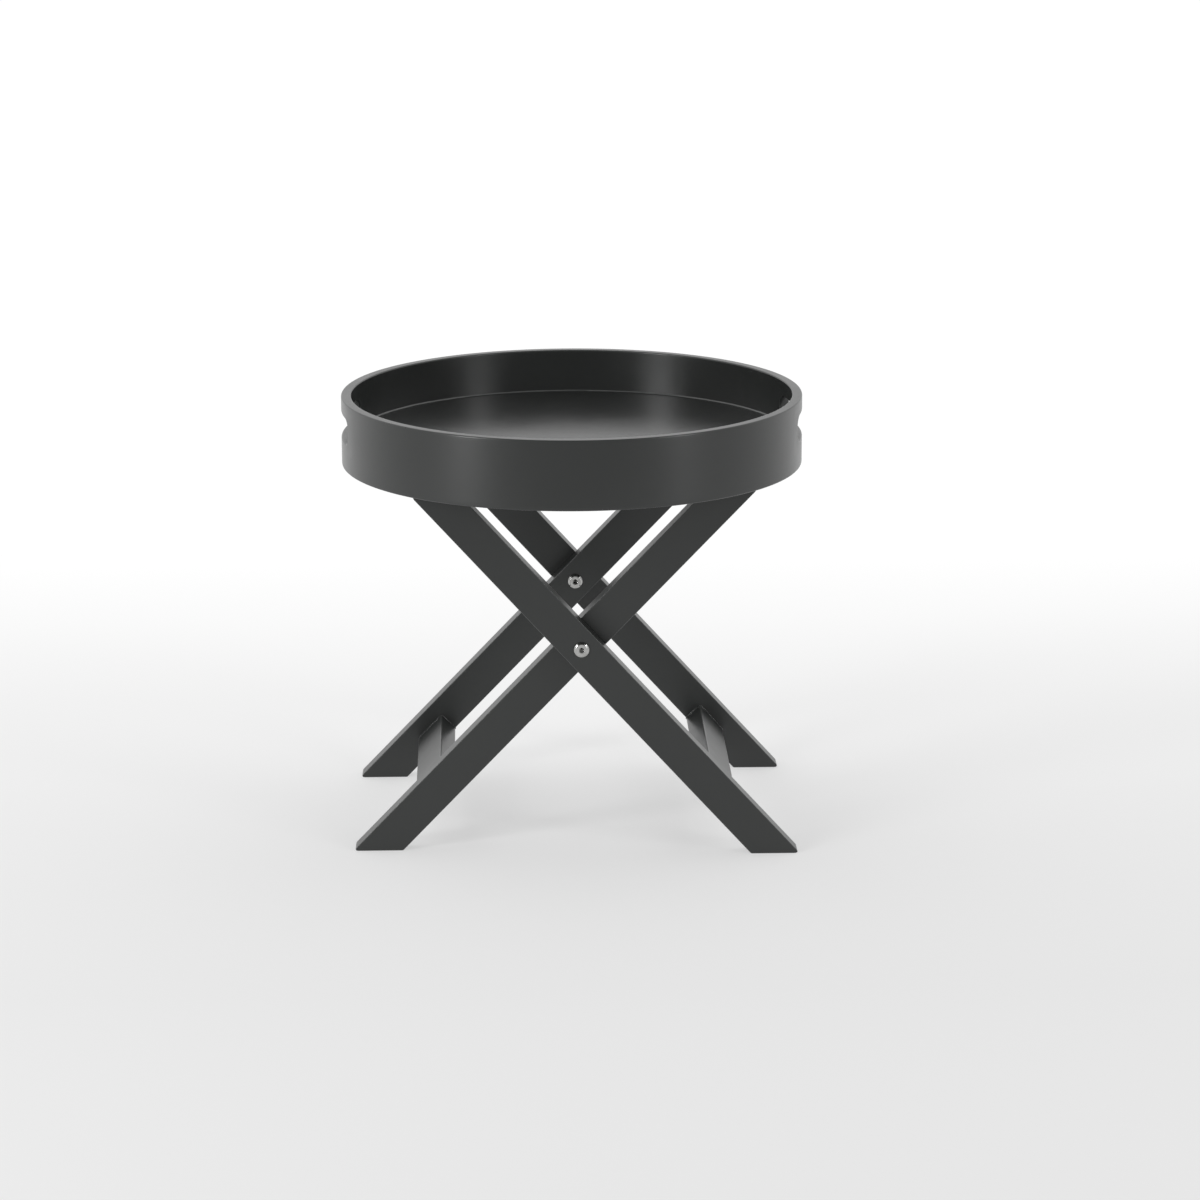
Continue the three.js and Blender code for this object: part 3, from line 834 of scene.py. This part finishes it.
def drill(bm, face, holes):
    """Opens round holes in a flat face that looks along Y. A hole is (x, z, radius, sides)."""
    border = list(face.edges)
    y = face.verts[0].co.y
    loops = [ring(bm, radius, sides, (x, y, z)) for x, z, radius, sides in holes]
    bmesh.ops.delete(bm, geom=[face], context="FACES_ONLY")
    everything = border + [e for loop in loops for e in loop]
    bmesh.ops.triangle_fill(bm, use_beauty=True, use_dissolve=False, edges=everything)
    return loops


def deepen(bm, loop, shift, scale=1.0):
    """Runs a hole's edge on, wider or narrower, and returns the new edge loop."""
    run = bmesh.ops.extrude_edge_only(bm, edges=loop)["geom"]
    verts = verts_of(run)
    middle = sum((v.co for v in verts), Vector()) / len(verts)
    bmesh.ops.scale(bm, verts=verts, vec=(scale, scale, scale), space=Matrix.Translation(-middle))
    bmesh.ops.translate(bm, verts=verts, vec=shift)
    return edges_of(run)


def close(bm, loop):
    bmesh.ops.edgeloop_fill(bm, edges=loop)


print("dowel holes in a leg at", [round(hole[0], 3) for hole in dowel_holes("outer", "bottom")])

# %% [markdown]
# ## The four legs
# The sharp tips are rounded to a small radius, and every arris is eased by sanding. The two
# bevels differ: a tip has its own opening, so the reach of its bevel is worked out from the
# radius. The pivot hole goes right through, and the dowel holes stop in the wood. Holes are
# drilled after the bevels, so that the bevels have clean edges to follow.

# %% Make the four legs
def leg_blank(frame_name, low_y, high_y):
    """A board with level ends, rounded tips and eased arrises."""
    half = LEG_WIDTH / 2
    corners = ((0, -half), (LEG_TOP, -half), (LEG_TOP, half), (0, half))
    outline = [(along(frame_name, height, side), side) for height, side in corners]
    bm = board(outline, low_y, high_y)
    openings = {e: math.pi - e.calc_face_angle() for e in long_edges(bm)}
    for sharp in (True, False):
        tips = [
            e for e, opening in openings.items()
            if e.is_valid and (opening < math.pi / 2) == sharp
        ]
        reach = TIP_RADIUS / math.tan(openings[tips[0]] / 2)
        ease(bm, tips, reach, 5 if sharp else 3)
    ease(bm, [e for f in side_faces(bm) for e in f.edges], ARRIS)
    return bm


def leg(frame_name, place):
    name = f"{frame_name}_{place}_leg"
    low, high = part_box(name)
    matrix, way = to_place(frame_name)
    bm = leg_blank(frame_name, *sorted((way * low.y, way * high.y)))
    lower, higher = side_faces(bm)
    in_front = way * (low.y + high.y) < 0
    inward, outward = (higher, lower) if in_front else (lower, higher)
    thickness = outward.calc_center_median().y - inward.calc_center_median().y
    pivot_hole = (0, 0, PIVOT_BORE, PIVOT_BORE_SIDES)
    sockets = dowel_holes(frame_name, "bottom") + dowel_holes(frame_name, "top")
    drill(bm, outward, [pivot_hole])
    bore, *blind = drill(bm, inward, [pivot_hole] + sockets)
    deepen(bm, bore, (0, thickness, 0))
    for loop in blind:
        close(bm, deepen(bm, loop, (0, math.copysign(DOWEL_DEPTH, thickness), 0)))
    bmesh.ops.transform(bm, matrix=matrix, verts=bm.verts)
    body = f"{frame_name}_frame"
    finished(bm, f"{name}_board", leg_paint[frame_name], body, [name])


for frame_name in ("outer", "inner"):
    for place in ("front", "rear"):
        leg(frame_name, place)

# %% [markdown]
# ## Rails
# A rail joins the two legs of a frame near the feet and another near the tray. Each is a board
# on edge, glued over two dowels at each end, so it has two blind holes in each end and four
# eased long edges. It is drawn in the leg's own directions too, and turned into place with it.

# %% Make the rails
RAIL_ARRIS = 1.5 * MM


def rail_outline(frame_name, level, grown=0.0):
    start, stop = rail_span(frame_name, level)
    low, high = rail_offset - RAIL_THICKNESS / 2, rail_offset + RAIL_THICKNESS / 2
    return [
        (start - grown, low - grown),
        (stop + grown, low - grown),
        (stop + grown, high + grown),
        (start - grown, high + grown),
    ]


def rail(frame_name, level):
    name = f"{frame_name}_{level}_rail"
    low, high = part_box(name)
    matrix, _ = to_place(frame_name)
    bm = board(rail_outline(frame_name, level), low.y, high.y)
    ease(bm, long_edges(bm), RAIL_ARRIS, 4)
    for face, inwards in zip(side_faces(bm), (1, -1)):
        for loop in drill(bm, face, dowel_holes(frame_name, level)):
            close(bm, deepen(bm, loop, (0, inwards * DOWEL_DEPTH, 0)))
    bmesh.ops.transform(bm, matrix=matrix, verts=bm.verts)
    finished(bm, f"{name}_board", rail_paint, f"{frame_name}_frame", [name])


RAILS = [(frame_name, level) for frame_name in ("outer", "inner") for level in ("bottom", "top")]
for frame_name, level in RAILS:
    rail(frame_name, level)

# %% [markdown]
# ## Lips of filler
# The joint between rail and leg is filled before painting, and the filler leaves a thin raised
# lip round the rail's end, a little uneven. The lip is a strip run round the rail's outline,
# thickened outwards and nudged by noise. Modelled as real geometry it catches the light on its
# own edge, which a painted line could not do, and its whole surface also takes the paler arris
# colour, a painted highlight that brightens that edge further.

# %% Lay a lip round each end of a rail
LIP_WIDTH = 1.9 * MM
LIP_PROUD = 0.75 * MM
LIP_GAP = 0.03 * MM
LIP_WANDER = 0.30 * MM
LIP_PITCH = 9 * MM
LIP_ARRIS = 0.3 * MM
LIP_CUTS = 15
STUCK_WITHIN = 0.2 * MM


def rail_clearance(frame_name, level, co):
    """How far a point stands off a rail's surface."""
    (x0, z0), _, (x1, z1), _ = rail_outline(frame_name, level)
    return max(x0 - co.x, co.x - x1, z0 - co.z, co.z - z1)


def rail_lip(frame_name, level, place, end_y, inwards):
    """A raised line of filler round one end of a rail."""
    matrix, _ = to_place(frame_name)
    start_y, stop_y = sorted((end_y, end_y + inwards * LIP_WIDTH))
    bm = board(rail_outline(frame_name, level, LIP_GAP), start_y, stop_y)
    ease(bm, long_edges(bm), RAIL_ARRIS + LIP_GAP, 4)
    ends = [f for f in bm.faces if abs(f.normal.y) > 0.9]
    bmesh.ops.delete(bm, geom=ends, context="FACES_ONLY")
    around = [e for e in bm.edges if e.calc_length() > 5 * MM]
    bmesh.ops.subdivide_edges(bm, edges=around, cuts=LIP_CUTS, use_grid_fill=True)
    bmesh.ops.recalc_face_normals(bm, faces=bm.faces)
    bmesh.ops.solidify(bm, geom=bm.faces[:], thickness=-LIP_PROUD)
    bmesh.ops.recalc_face_normals(bm, faces=bm.faces)
    outer = [
        e for e in bm.edges
        if is_sharp(e) and rail_clearance(frame_name, level, e.verts[0].co) > LIP_PROUD / 2
    ]
    ease(bm, outer, LIP_ARRIS, 2)
    # Painted highlight: the whole lip takes the paler arris colour.
    highlight_all_as_arris(bm)

    def free(co):
        return 1.0 if rail_clearance(frame_name, level, co) > STUCK_WITHIN else 0.0

    wander(bm, LIP_WANDER, LIP_PITCH, free)
    if inwards > 0:
        stop_y += LIP_WANDER
    else:
        start_y -= LIP_WANDER
    for v in bm.verts:
        v.co.y = min(max(v.co.y, start_y), stop_y)
    bmesh.ops.transform(bm, matrix=matrix, verts=bm.verts)
    name = f"{frame_name}_{level}_{place}_rail_lip"
    finished(bm, name, filler_paint, f"{frame_name}_frame")


for frame_name, level in RAILS:
    low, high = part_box(f"{frame_name}_{level}_rail")
    way = to_place(frame_name)[1]
    rail_lip(frame_name, level, "front", way * low.y, way)
    rail_lip(frame_name, level, "rear", way * high.y, -way)

# %% [markdown]
# ## A turned head with a key socket
# The heads of bolt and nut are low domes with a bevelled rim and a hexagon socket for a key.
# The head is turned from its profile with its middle left open. The open round edge is drawn in
# to a hexagon, point for point, and then run down into the metal and in to a cone, where the
# drill stopped. Each step is one ring of clean faces, so the flat top shades evenly, which it
# would not after a boolean.

# %% Draw a round edge in to a socket
HEAD_STEPS = 60
HEAD_INNER = 3.9 * MM
HEAD_HEIGHT = 2.8 * MM
KEY_FLAT = 2.5 * MM
SOCKET_DEPTH = 3 * MM
SOCKET_CONE = 1.4 * MM
SOCKET_POINT = 0.08
SOCKET_LIP = 0.18 * MM


def hexagon_reach(angle):
    """Distance from the middle of a hexagon to its edge, for a hexagon a unit from its flats."""
    sector = math.pi / 3
    return 1 / math.cos((angle + sector / 2) % sector - sector / 2)


def draw_in(bm, radius, reach):
    """Draws the open round edge of a turned piece in to a new outline, point for point."""
    rim = [
        e for e in bm.edges
        if all(abs(math.hypot(v.co.x, v.co.y) - radius) < 0.01 * MM for v in e.verts)
    ]
    run = bmesh.ops.extrude_edge_only(bm, edges=rim)["geom"]
    for v in verts_of(run):
        angle = math.atan2(v.co.y, v.co.x)
        v.co.x = reach(angle) * math.cos(angle)
        v.co.y = reach(angle) * math.sin(angle)
    return edges_of(run)


def key_socket(bm):
    """Lets a hexagon socket into the open middle of a head that looks along Z."""
    mouth = KEY_FLAT + SOCKET_LIP
    loop = draw_in(bm, HEAD_INNER, lambda angle: mouth * hexagon_reach(angle))
    loop = deepen(bm, loop, (0, 0, -SOCKET_LIP), KEY_FLAT / mouth)
    loop = deepen(bm, loop, (0, 0, SOCKET_LIP - SOCKET_DEPTH))
    loop = deepen(bm, loop, (0, 0, -SOCKET_CONE), SOCKET_POINT)
    close(bm, loop)


print("key socket", round(2 * KEY_FLAT * 1000, 1), "mm across flats")

# %% [markdown]
# ## Bolts and sleeve nuts
# A bolt and a sleeve nut go through each pair of crossing legs and meet inside the bore. Both
# are one profile each, turned in one go from the rim of the head to the tip of the shank, so no
# two shapes have to be joined. The list of points is the maker's drawing: a radius, and a
# height above the underside of the head.

# %% Make the bolts and the nuts
BOLT_RADIUS = 3.0 * MM
BOLT_TIP_RADIUS = 2.3 * MM
NUT_RADIUS = 4.7 * MM
NUT_BORE = 3.3 * MM
NUT_BORE_END = -12 * MM
HEAD_FILLET = 0.25 * MM

HEAD_PROFILE = [
    (HEAD_INNER, HEAD_HEIGHT),
    (5.75 * MM, HEAD_HEIGHT),
    (6.10 * MM, 2.76 * MM),
    (6.34 * MM, 2.64 * MM),
    (7.95 * MM, 1.42 * MM),
    (8.15 * MM, 1.22 * MM),
    (8.25 * MM, 0.98 * MM),
    (8.25 * MM, 0.22 * MM),
    (8.18 * MM, 0.07 * MM),
    (8.03 * MM, 0.0),
]


def bolt_shank(length):
    return [
        (BOLT_RADIUS + HEAD_FILLET, 0),
        (BOLT_RADIUS, -HEAD_FILLET),
        (BOLT_RADIUS, 0.7 * MM - length),
        (BOLT_TIP_RADIUS, -length),
        (0, -length),
    ]


def nut_sleeve(length):
    return [
        (NUT_RADIUS + HEAD_FILLET, 0),
        (NUT_RADIUS, -HEAD_FILLET),
        (NUT_RADIUS, 0.4 * MM - length),
        (NUT_RADIUS - 0.3 * MM, -length),
        (NUT_BORE + 0.2 * MM, -length),
        (NUT_BORE, 0.3 * MM - length),
        (NUT_BORE, NUT_BORE_END),
        (0, NUT_BORE_END + 1.2 * MM),
    ]


def stand_along_y(bm, place, outwards):
    """Turns a piece made along +Z so that its head looks along Y, and puts it in place."""
    turn = Matrix.Rotation(-outwards * math.pi / 2, 4, "X")
    bmesh.ops.transform(bm, matrix=Matrix.Translation(place) @ turn, verts=bm.verts)


def headed(name, shank, outwards):
    """A bolt or a nut; `outwards` is the way its head looks along Y."""
    low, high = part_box(name)
    head_y = (low.y if outwards < 0 else high.y) - outwards * HEAD_HEIGHT
    bm = turned(HEAD_PROFILE + shank(high.y - low.y - HEAD_HEIGHT), HEAD_STEPS)
    key_socket(bm)
    stand_along_y(bm, (pivot.x, head_y, pivot.z), outwards)
    finished(bm, f"{name}_turned", nickel, "outer_frame", [name])


PIVOT_ENDS = (("front", -1), ("rear", 1))
for place, outwards in PIVOT_ENDS:
    headed(f"{place}_pivot_bolt", bolt_shank, outwards)
    headed(f"{place}_pivot_nut", nut_sleeve, -outwards)

# %% [markdown]
# ## Washers
# A nylon washer keeps the paint of two crossing legs apart. It is moulded, so all four of its
# edges are a little soft. Its section is a small closed outline, turned round the same axis.

# %% Make the washers
WASHER_BORE = 5.0 * MM
WASHER_RADIUS = 9.0 * MM
WASHER_SOFT = 0.2 * MM
WASHER_STEPS = 48


def washer(place, outwards):
    name = f"{place}_pivot_washer"
    low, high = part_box(name)
    half = (high.y - low.y) / 2
    level = half - WASHER_SOFT
    bm = turned([
        (WASHER_BORE, -level),
        (WASHER_BORE + WASHER_SOFT, -half),
        (WASHER_RADIUS - WASHER_SOFT, -half),
        (WASHER_RADIUS, -level),
        (WASHER_RADIUS, level),
        (WASHER_RADIUS - WASHER_SOFT, half),
        (WASHER_BORE + WASHER_SOFT, half),
        (WASHER_BORE, level),
        (WASHER_BORE, -level),
    ], WASHER_STEPS)
    stand_along_y(bm, (pivot.x, (low.y + high.y) / 2, pivot.z), outwards)
    finished(bm, f"{name}_moulded", nylon, "outer_frame", [name])


for place, outwards in PIVOT_ENDS:
    washer(place, outwards)

# %% [markdown]
# ## The shape of a batten
# Two battens are screwed up into the floor panel from below. Each has a lip that hooks over
# the outside of a top rail, so that the tray holds the frames at their spread. The lip has to
# follow the slope of the leg beside it, so its corners are worked out from the lean.

# %% Sizes of a batten
BATTEN_WIDTH = 38 * MM
LIP_DROP = 8 * MM
LIP_THICKNESS = 10 * MM
CLEARANCE = 0.3 * MM
BATTEN_TOP = LEDGE_TOP


def batten_outline(frame_name):
    """The outline in X and Z, and the line that the screws stand on."""
    slope = lean[frame_name]
    way = -1 if frame_name == "outer" else 1
    upper = rail_offset + RAIL_THICKNESS / 2
    place = along(frame_name, LEG_TOP, upper)
    corner = pivot.x + way * (place * math.cos(slope) - upper * math.sin(slope))
    bevel = corner + way * CLEARANCE
    lip = bevel + way * LIP_DROP * math.tan(slope)
    outside = lip + way * LIP_THICKNESS
    inside = outside - way * BATTEN_WIDTH
    points = [
        (inside, BATTEN_TOP),
        (inside, TRAY_BOTTOM),
        (bevel, TRAY_BOTTOM),
        (lip, TRAY_BOTTOM - LIP_DROP),
        (outside, TRAY_BOTTOM - LIP_DROP),
        (outside, BATTEN_TOP),
    ]
    return points, (inside + bevel) / 2


for frame_name in lean:
    points, screw_x = batten_outline(frame_name)
    print(frame_name, "batten from", round(points[0][0], 4), "to", round(points[-1][0], 4))

# %% [markdown]
# ## Battens
# They are hidden from most sides, but a reader who looks underneath should find them finished:
# eased edges and countersunk holes. The drilling tools work on faces that look along Y, so
# the batten lies down on its side for them, and gets up again before it is finished.

# %% Make the battens
BATTEN_ARRIS = 0.9 * MM
SCREW_SIDES = 40
SCREW_RECESS = 0.6 * MM
SCREW_HEAD = 4 * MM
SCREW_HEAD_HEIGHT = 2.4 * MM
SCREW_SHANK = 2 * MM
SCREW_NUMBERS = (1, 2, 3)
LIE_DOWN = Matrix.Rotation(math.pi / 2, 4, "X")


def middle_of(name):
    return sum(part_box(name), Vector()) / 2


def screw_places(frame_name):
    return sorted(middle_of(f"{frame_name}_batten_screw_{i}").y for i in SCREW_NUMBERS)


def level_face(bm, z):
    """The largest face at a height, in a batten that lies down."""
    flat = [
        f for f in bm.faces
        if abs(f.normal.y) > 0.99 and abs(f.calc_center_median().y + z) < 0.05 * MM
    ]
    return max(flat, key=lambda f: f.calc_area())


def batten(frame_name):
    name = f"{frame_name}_batten"
    low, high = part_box(name)
    points, screw_x = batten_outline(frame_name)
    bm = board(points, low.y, high.y)
    under = [e for e in bm.edges if any(v.co.z < BATTEN_TOP - 1 * MM for v in e.verts)]
    ease(bm, under, BATTEN_ARRIS)
    bmesh.ops.transform(bm, matrix=LIE_DOWN, verts=bm.verts)

    def holes(radius):
        return [(screw_x, y, radius, SCREW_SIDES) for y in screw_places(frame_name)]

    head = SCREW_HEAD + CLEARANCE
    shank = SCREW_SHANK + CLEARANCE
    sunk = drill(bm, level_face(bm, TRAY_BOTTOM), holes(head))
    drill(bm, level_face(bm, BATTEN_TOP), holes(shank))
    straight = BATTEN_TOP - TRAY_BOTTOM - SCREW_RECESS - SCREW_HEAD_HEIGHT
    for loop in sunk:
        loop = deepen(bm, loop, (0, -SCREW_RECESS, 0))
        loop = deepen(bm, loop, (0, -SCREW_HEAD_HEIGHT, 0), shank / head)
        deepen(bm, loop, (0, -straight, 0))
    bmesh.ops.transform(bm, matrix=LIE_DOWN.inverted(), verts=bm.verts)
    finished(bm, f"{name}_board", batten_paint, "tray", [name])


for frame_name in ("outer", "inner"):
    batten(frame_name)

# %% [markdown]
# ## Screws
# Each batten has three countersunk screws with a cross recess. A screw is turned like the
# bolts, with its head down. Its open middle is drawn in to a cross instead of a hexagon, and
# the cross is run up into the head and narrowed, as the driver's tip is.

# %% Make the screws
CROSS_ARM = 2.3 * MM
CROSS_HALF_WIDTH = 0.55 * MM
CROSS_DEPTH = 1.8 * MM
CROSS_TAPER = 0.45
SCREW_INNER = 3.0 * MM
SCREW_POINT = 3 * MM


def cross_reach(angle):
    """Distance from the middle of a cross to its edge."""
    quarter = math.pi / 2
    turn = abs((angle + quarter / 2) % quarter - quarter / 2)
    end_of_arm = CROSS_ARM / math.cos(turn)
    side_of_arm = CROSS_HALF_WIDTH / max(math.sin(turn), 1e-6)
    return min(end_of_arm, side_of_arm)


def screw(name):
    low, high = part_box(name)
    middle = middle_of(name)
    length = high.z - low.z
    bm = turned([
        (SCREW_INNER, 0.0),
        (3.8 * MM, 0.0),
        (3.95 * MM, 0.06 * MM),
        (3.95 * MM, 0.2 * MM),
        (SCREW_SHANK, SCREW_HEAD_HEIGHT),
        (SCREW_SHANK, length - SCREW_POINT),
        (0, length),
    ], SCREW_SIDES)
    loop = draw_in(bm, SCREW_INNER, cross_reach)
    close(bm, deepen(bm, loop, (0, 0, CROSS_DEPTH), CROSS_TAPER))
    bmesh.ops.translate(bm, verts=bm.verts, vec=(middle.x, middle.y, low.z))
    finished(bm, f"{name}_turned", zinc, "tray", [name])


for frame_name in ("outer", "inner"):
    for number in SCREW_NUMBERS:
        screw(f"{frame_name}_batten_screw_{number}")

# %% [markdown]
# ## Dowels
# The dowels are inside the joints, and the frame's own solids already have their shape and
# their chamfers. They stay as they are and only get the bare beech.

# %% Give the dowels their wood
dowels = [node for name, node in frame["nodes"].items() if "dowel" in name]
for dowel in dowels:
    for holder in dowel.material_slots:
        holder.material = beech
print(len(dowels), "dowels in beech")

# %% [markdown]
# ## Floor and backdrop
# The table stands on a pale sweep that runs from light grey at the front to white at the back,
# with no horizon. One large disc does it, and its tone is a ramp along Y. A floor that only
# reflects would take deep shadows, so it is a mix: a matt share that takes the table's shadow,
# and a glow for the rest, as faint shadows have in a bright studio. The matt share sends back
# the part GATHERED of full light, and the glow makes up what is missing, so that away from the
# table the floor shows the ramp's own tone. Far back the matt share fades out.

# %% Make the pale floor
FLOOR_RADIUS = 9.0
FLOOR_SIDES = 128
FLOOR_LEVEL = 1.02
MATT_SHARE = 0.54
MATT_FADES = (0.2, 1.2)
GATHERED = 0.77
SWEEP_START = -2.6
SWEEP_LENGTH = 3.875
sweep_stops = [
    (-2.60, 0.420),
    (-1.15, 0.725),
    (-0.60, 0.740),
    (-0.32, 0.766),
    (0.03, 0.802),
    (0.45, 0.862),
    (0.83, 0.938),
    (1.16, 0.986),
    (1.275, 1.0),
]


def pale_sweep():
    sweep = Recipe(bpy.data.materials.new("pale_sweep"))
    y = sweep.axis(sweep.place(), "Y")
    stops = [((place - SWEEP_START) / SWEEP_LENGTH, tone) for place, tone in sweep_stops]
    along = (y - SWEEP_START) * (1 / SWEEP_LENGTH)
    tone = sweep.node("ShaderNodeValToRGB", {"stops": stops}, {0: along})
    matt_share = MATT_SHARE * (1 - y.between(*MATT_FADES))
    strength = (FLOOR_LEVEL - matt_share * GATHERED) * (1 - matt_share) ** -1
    glow = sweep.node("ShaderNodeEmission", None, {"Color": tone, "Strength": strength})
    matt = sweep.node("ShaderNodeBsdfDiffuse", None, {"Color": tone})
    return sweep.end(sweep.node("ShaderNodeMixShader", None, {0: matt_share, 1: glow, 2: matt}))


ground = bmesh.new()
bmesh.ops.create_circle(ground, cap_ends=True, segments=FLOOR_SIDES, radius=FLOOR_RADIUS)
ground_mesh = bpy.data.meshes.new("pale_floor")
ground.to_mesh(ground_mesh)
ground.free()
ground_mesh.materials.append(pale_sweep())
floor_stage = bpy.data.objects.new("pale_floor", ground_mesh)
bpy.context.scene.collection.objects.link(floor_stage)
print("floor radius", FLOOR_RADIUS)

# %% [markdown]
# ## The room
# The room is white behind and above the table and greyer behind the camera, as a studio with a
# white cove is, and the ceiling above the camera is dark, which leaves a dark band across the
# bevel of each bolt head. The world is painted by direction. The camera sees plain white where
# the floor ends, and the reflections see the room: the Light Path node tells them apart.

# %% Paint the room
ROOM_BACK = 1.0
ROOM_FRONT = 0.54
ROOM_TURNS = (-0.45, 0.25)
CEILING_SHADE = 0.94
CEILING_STARTS = (0.52, 0.68)
CEILING_ENDS = (-0.35, 0.1)


def studio_room():
    world = bpy.data.worlds.new("white_cove")
    bpy.context.scene.world = world
    room = Recipe(world)
    way = room.node("ShaderNodeTexCoord", out="Generated")
    y, z = room.axis(way, "Y"), room.axis(way, "Z")
    wall = ROOM_FRONT + (ROOM_BACK - ROOM_FRONT) * y.between(*ROOM_TURNS)
    ceiling = z.between(*CEILING_STARTS) * (1 - y.between(*CEILING_ENDS))
    tone = wall * (1 - ceiling * CEILING_SHADE)
    seen = room.node("ShaderNodeLightPath", out="Is Camera Ray")
    strength = tone + (1 - tone) * seen
    light = room.node("ShaderNodeBackground", None, {"Color": (1, 1, 1, 1), "Strength": strength})
    room.end(light, "ShaderNodeOutputWorld")


studio_room()
print("world", bpy.context.scene.world.name)

# %% [markdown]
# ## Soft boxes
# Two tall soft boxes stand in front, to the left and to the right. They make the two pale
# streaks inside the tray and the two sparks on each bolt head. A tall narrow box gives a
# narrow streak on a round wall. A square one would smear it over half the tray.

# %% Stand the soft boxes
BOX_TURN = math.radians(52)
BOX_DISTANCE = 3.0
BOX_HEIGHT = 1.15
BOX_SIZE = (0.38, 1.9)
BOX_AIM = Vector((0, 0, 0.4))
BOX_POWER_LEFT = 40.0
BOX_POWER_RIGHT = 21.0


def soft_box(name, turn, power):
    data = bpy.data.lights.new(name, "AREA")
    data.shape = "RECTANGLE"
    data.size, data.size_y = BOX_SIZE
    data.energy = power
    box = bpy.data.objects.new(name, data)
    place = Vector((math.sin(turn) * BOX_DISTANCE, -math.cos(turn) * BOX_DISTANCE, BOX_HEIGHT))
    turned_to_table = (BOX_AIM - place).to_track_quat("-Z", "Y").to_matrix().to_4x4()
    box.matrix_world = Matrix.Translation(place) @ turned_to_table
    box.visible_camera = False
    bpy.context.scene.collection.objects.link(box)


soft_box("soft_box_left", -BOX_TURN, BOX_POWER_LEFT)
soft_box("soft_box_right", BOX_TURN, BOX_POWER_RIGHT)
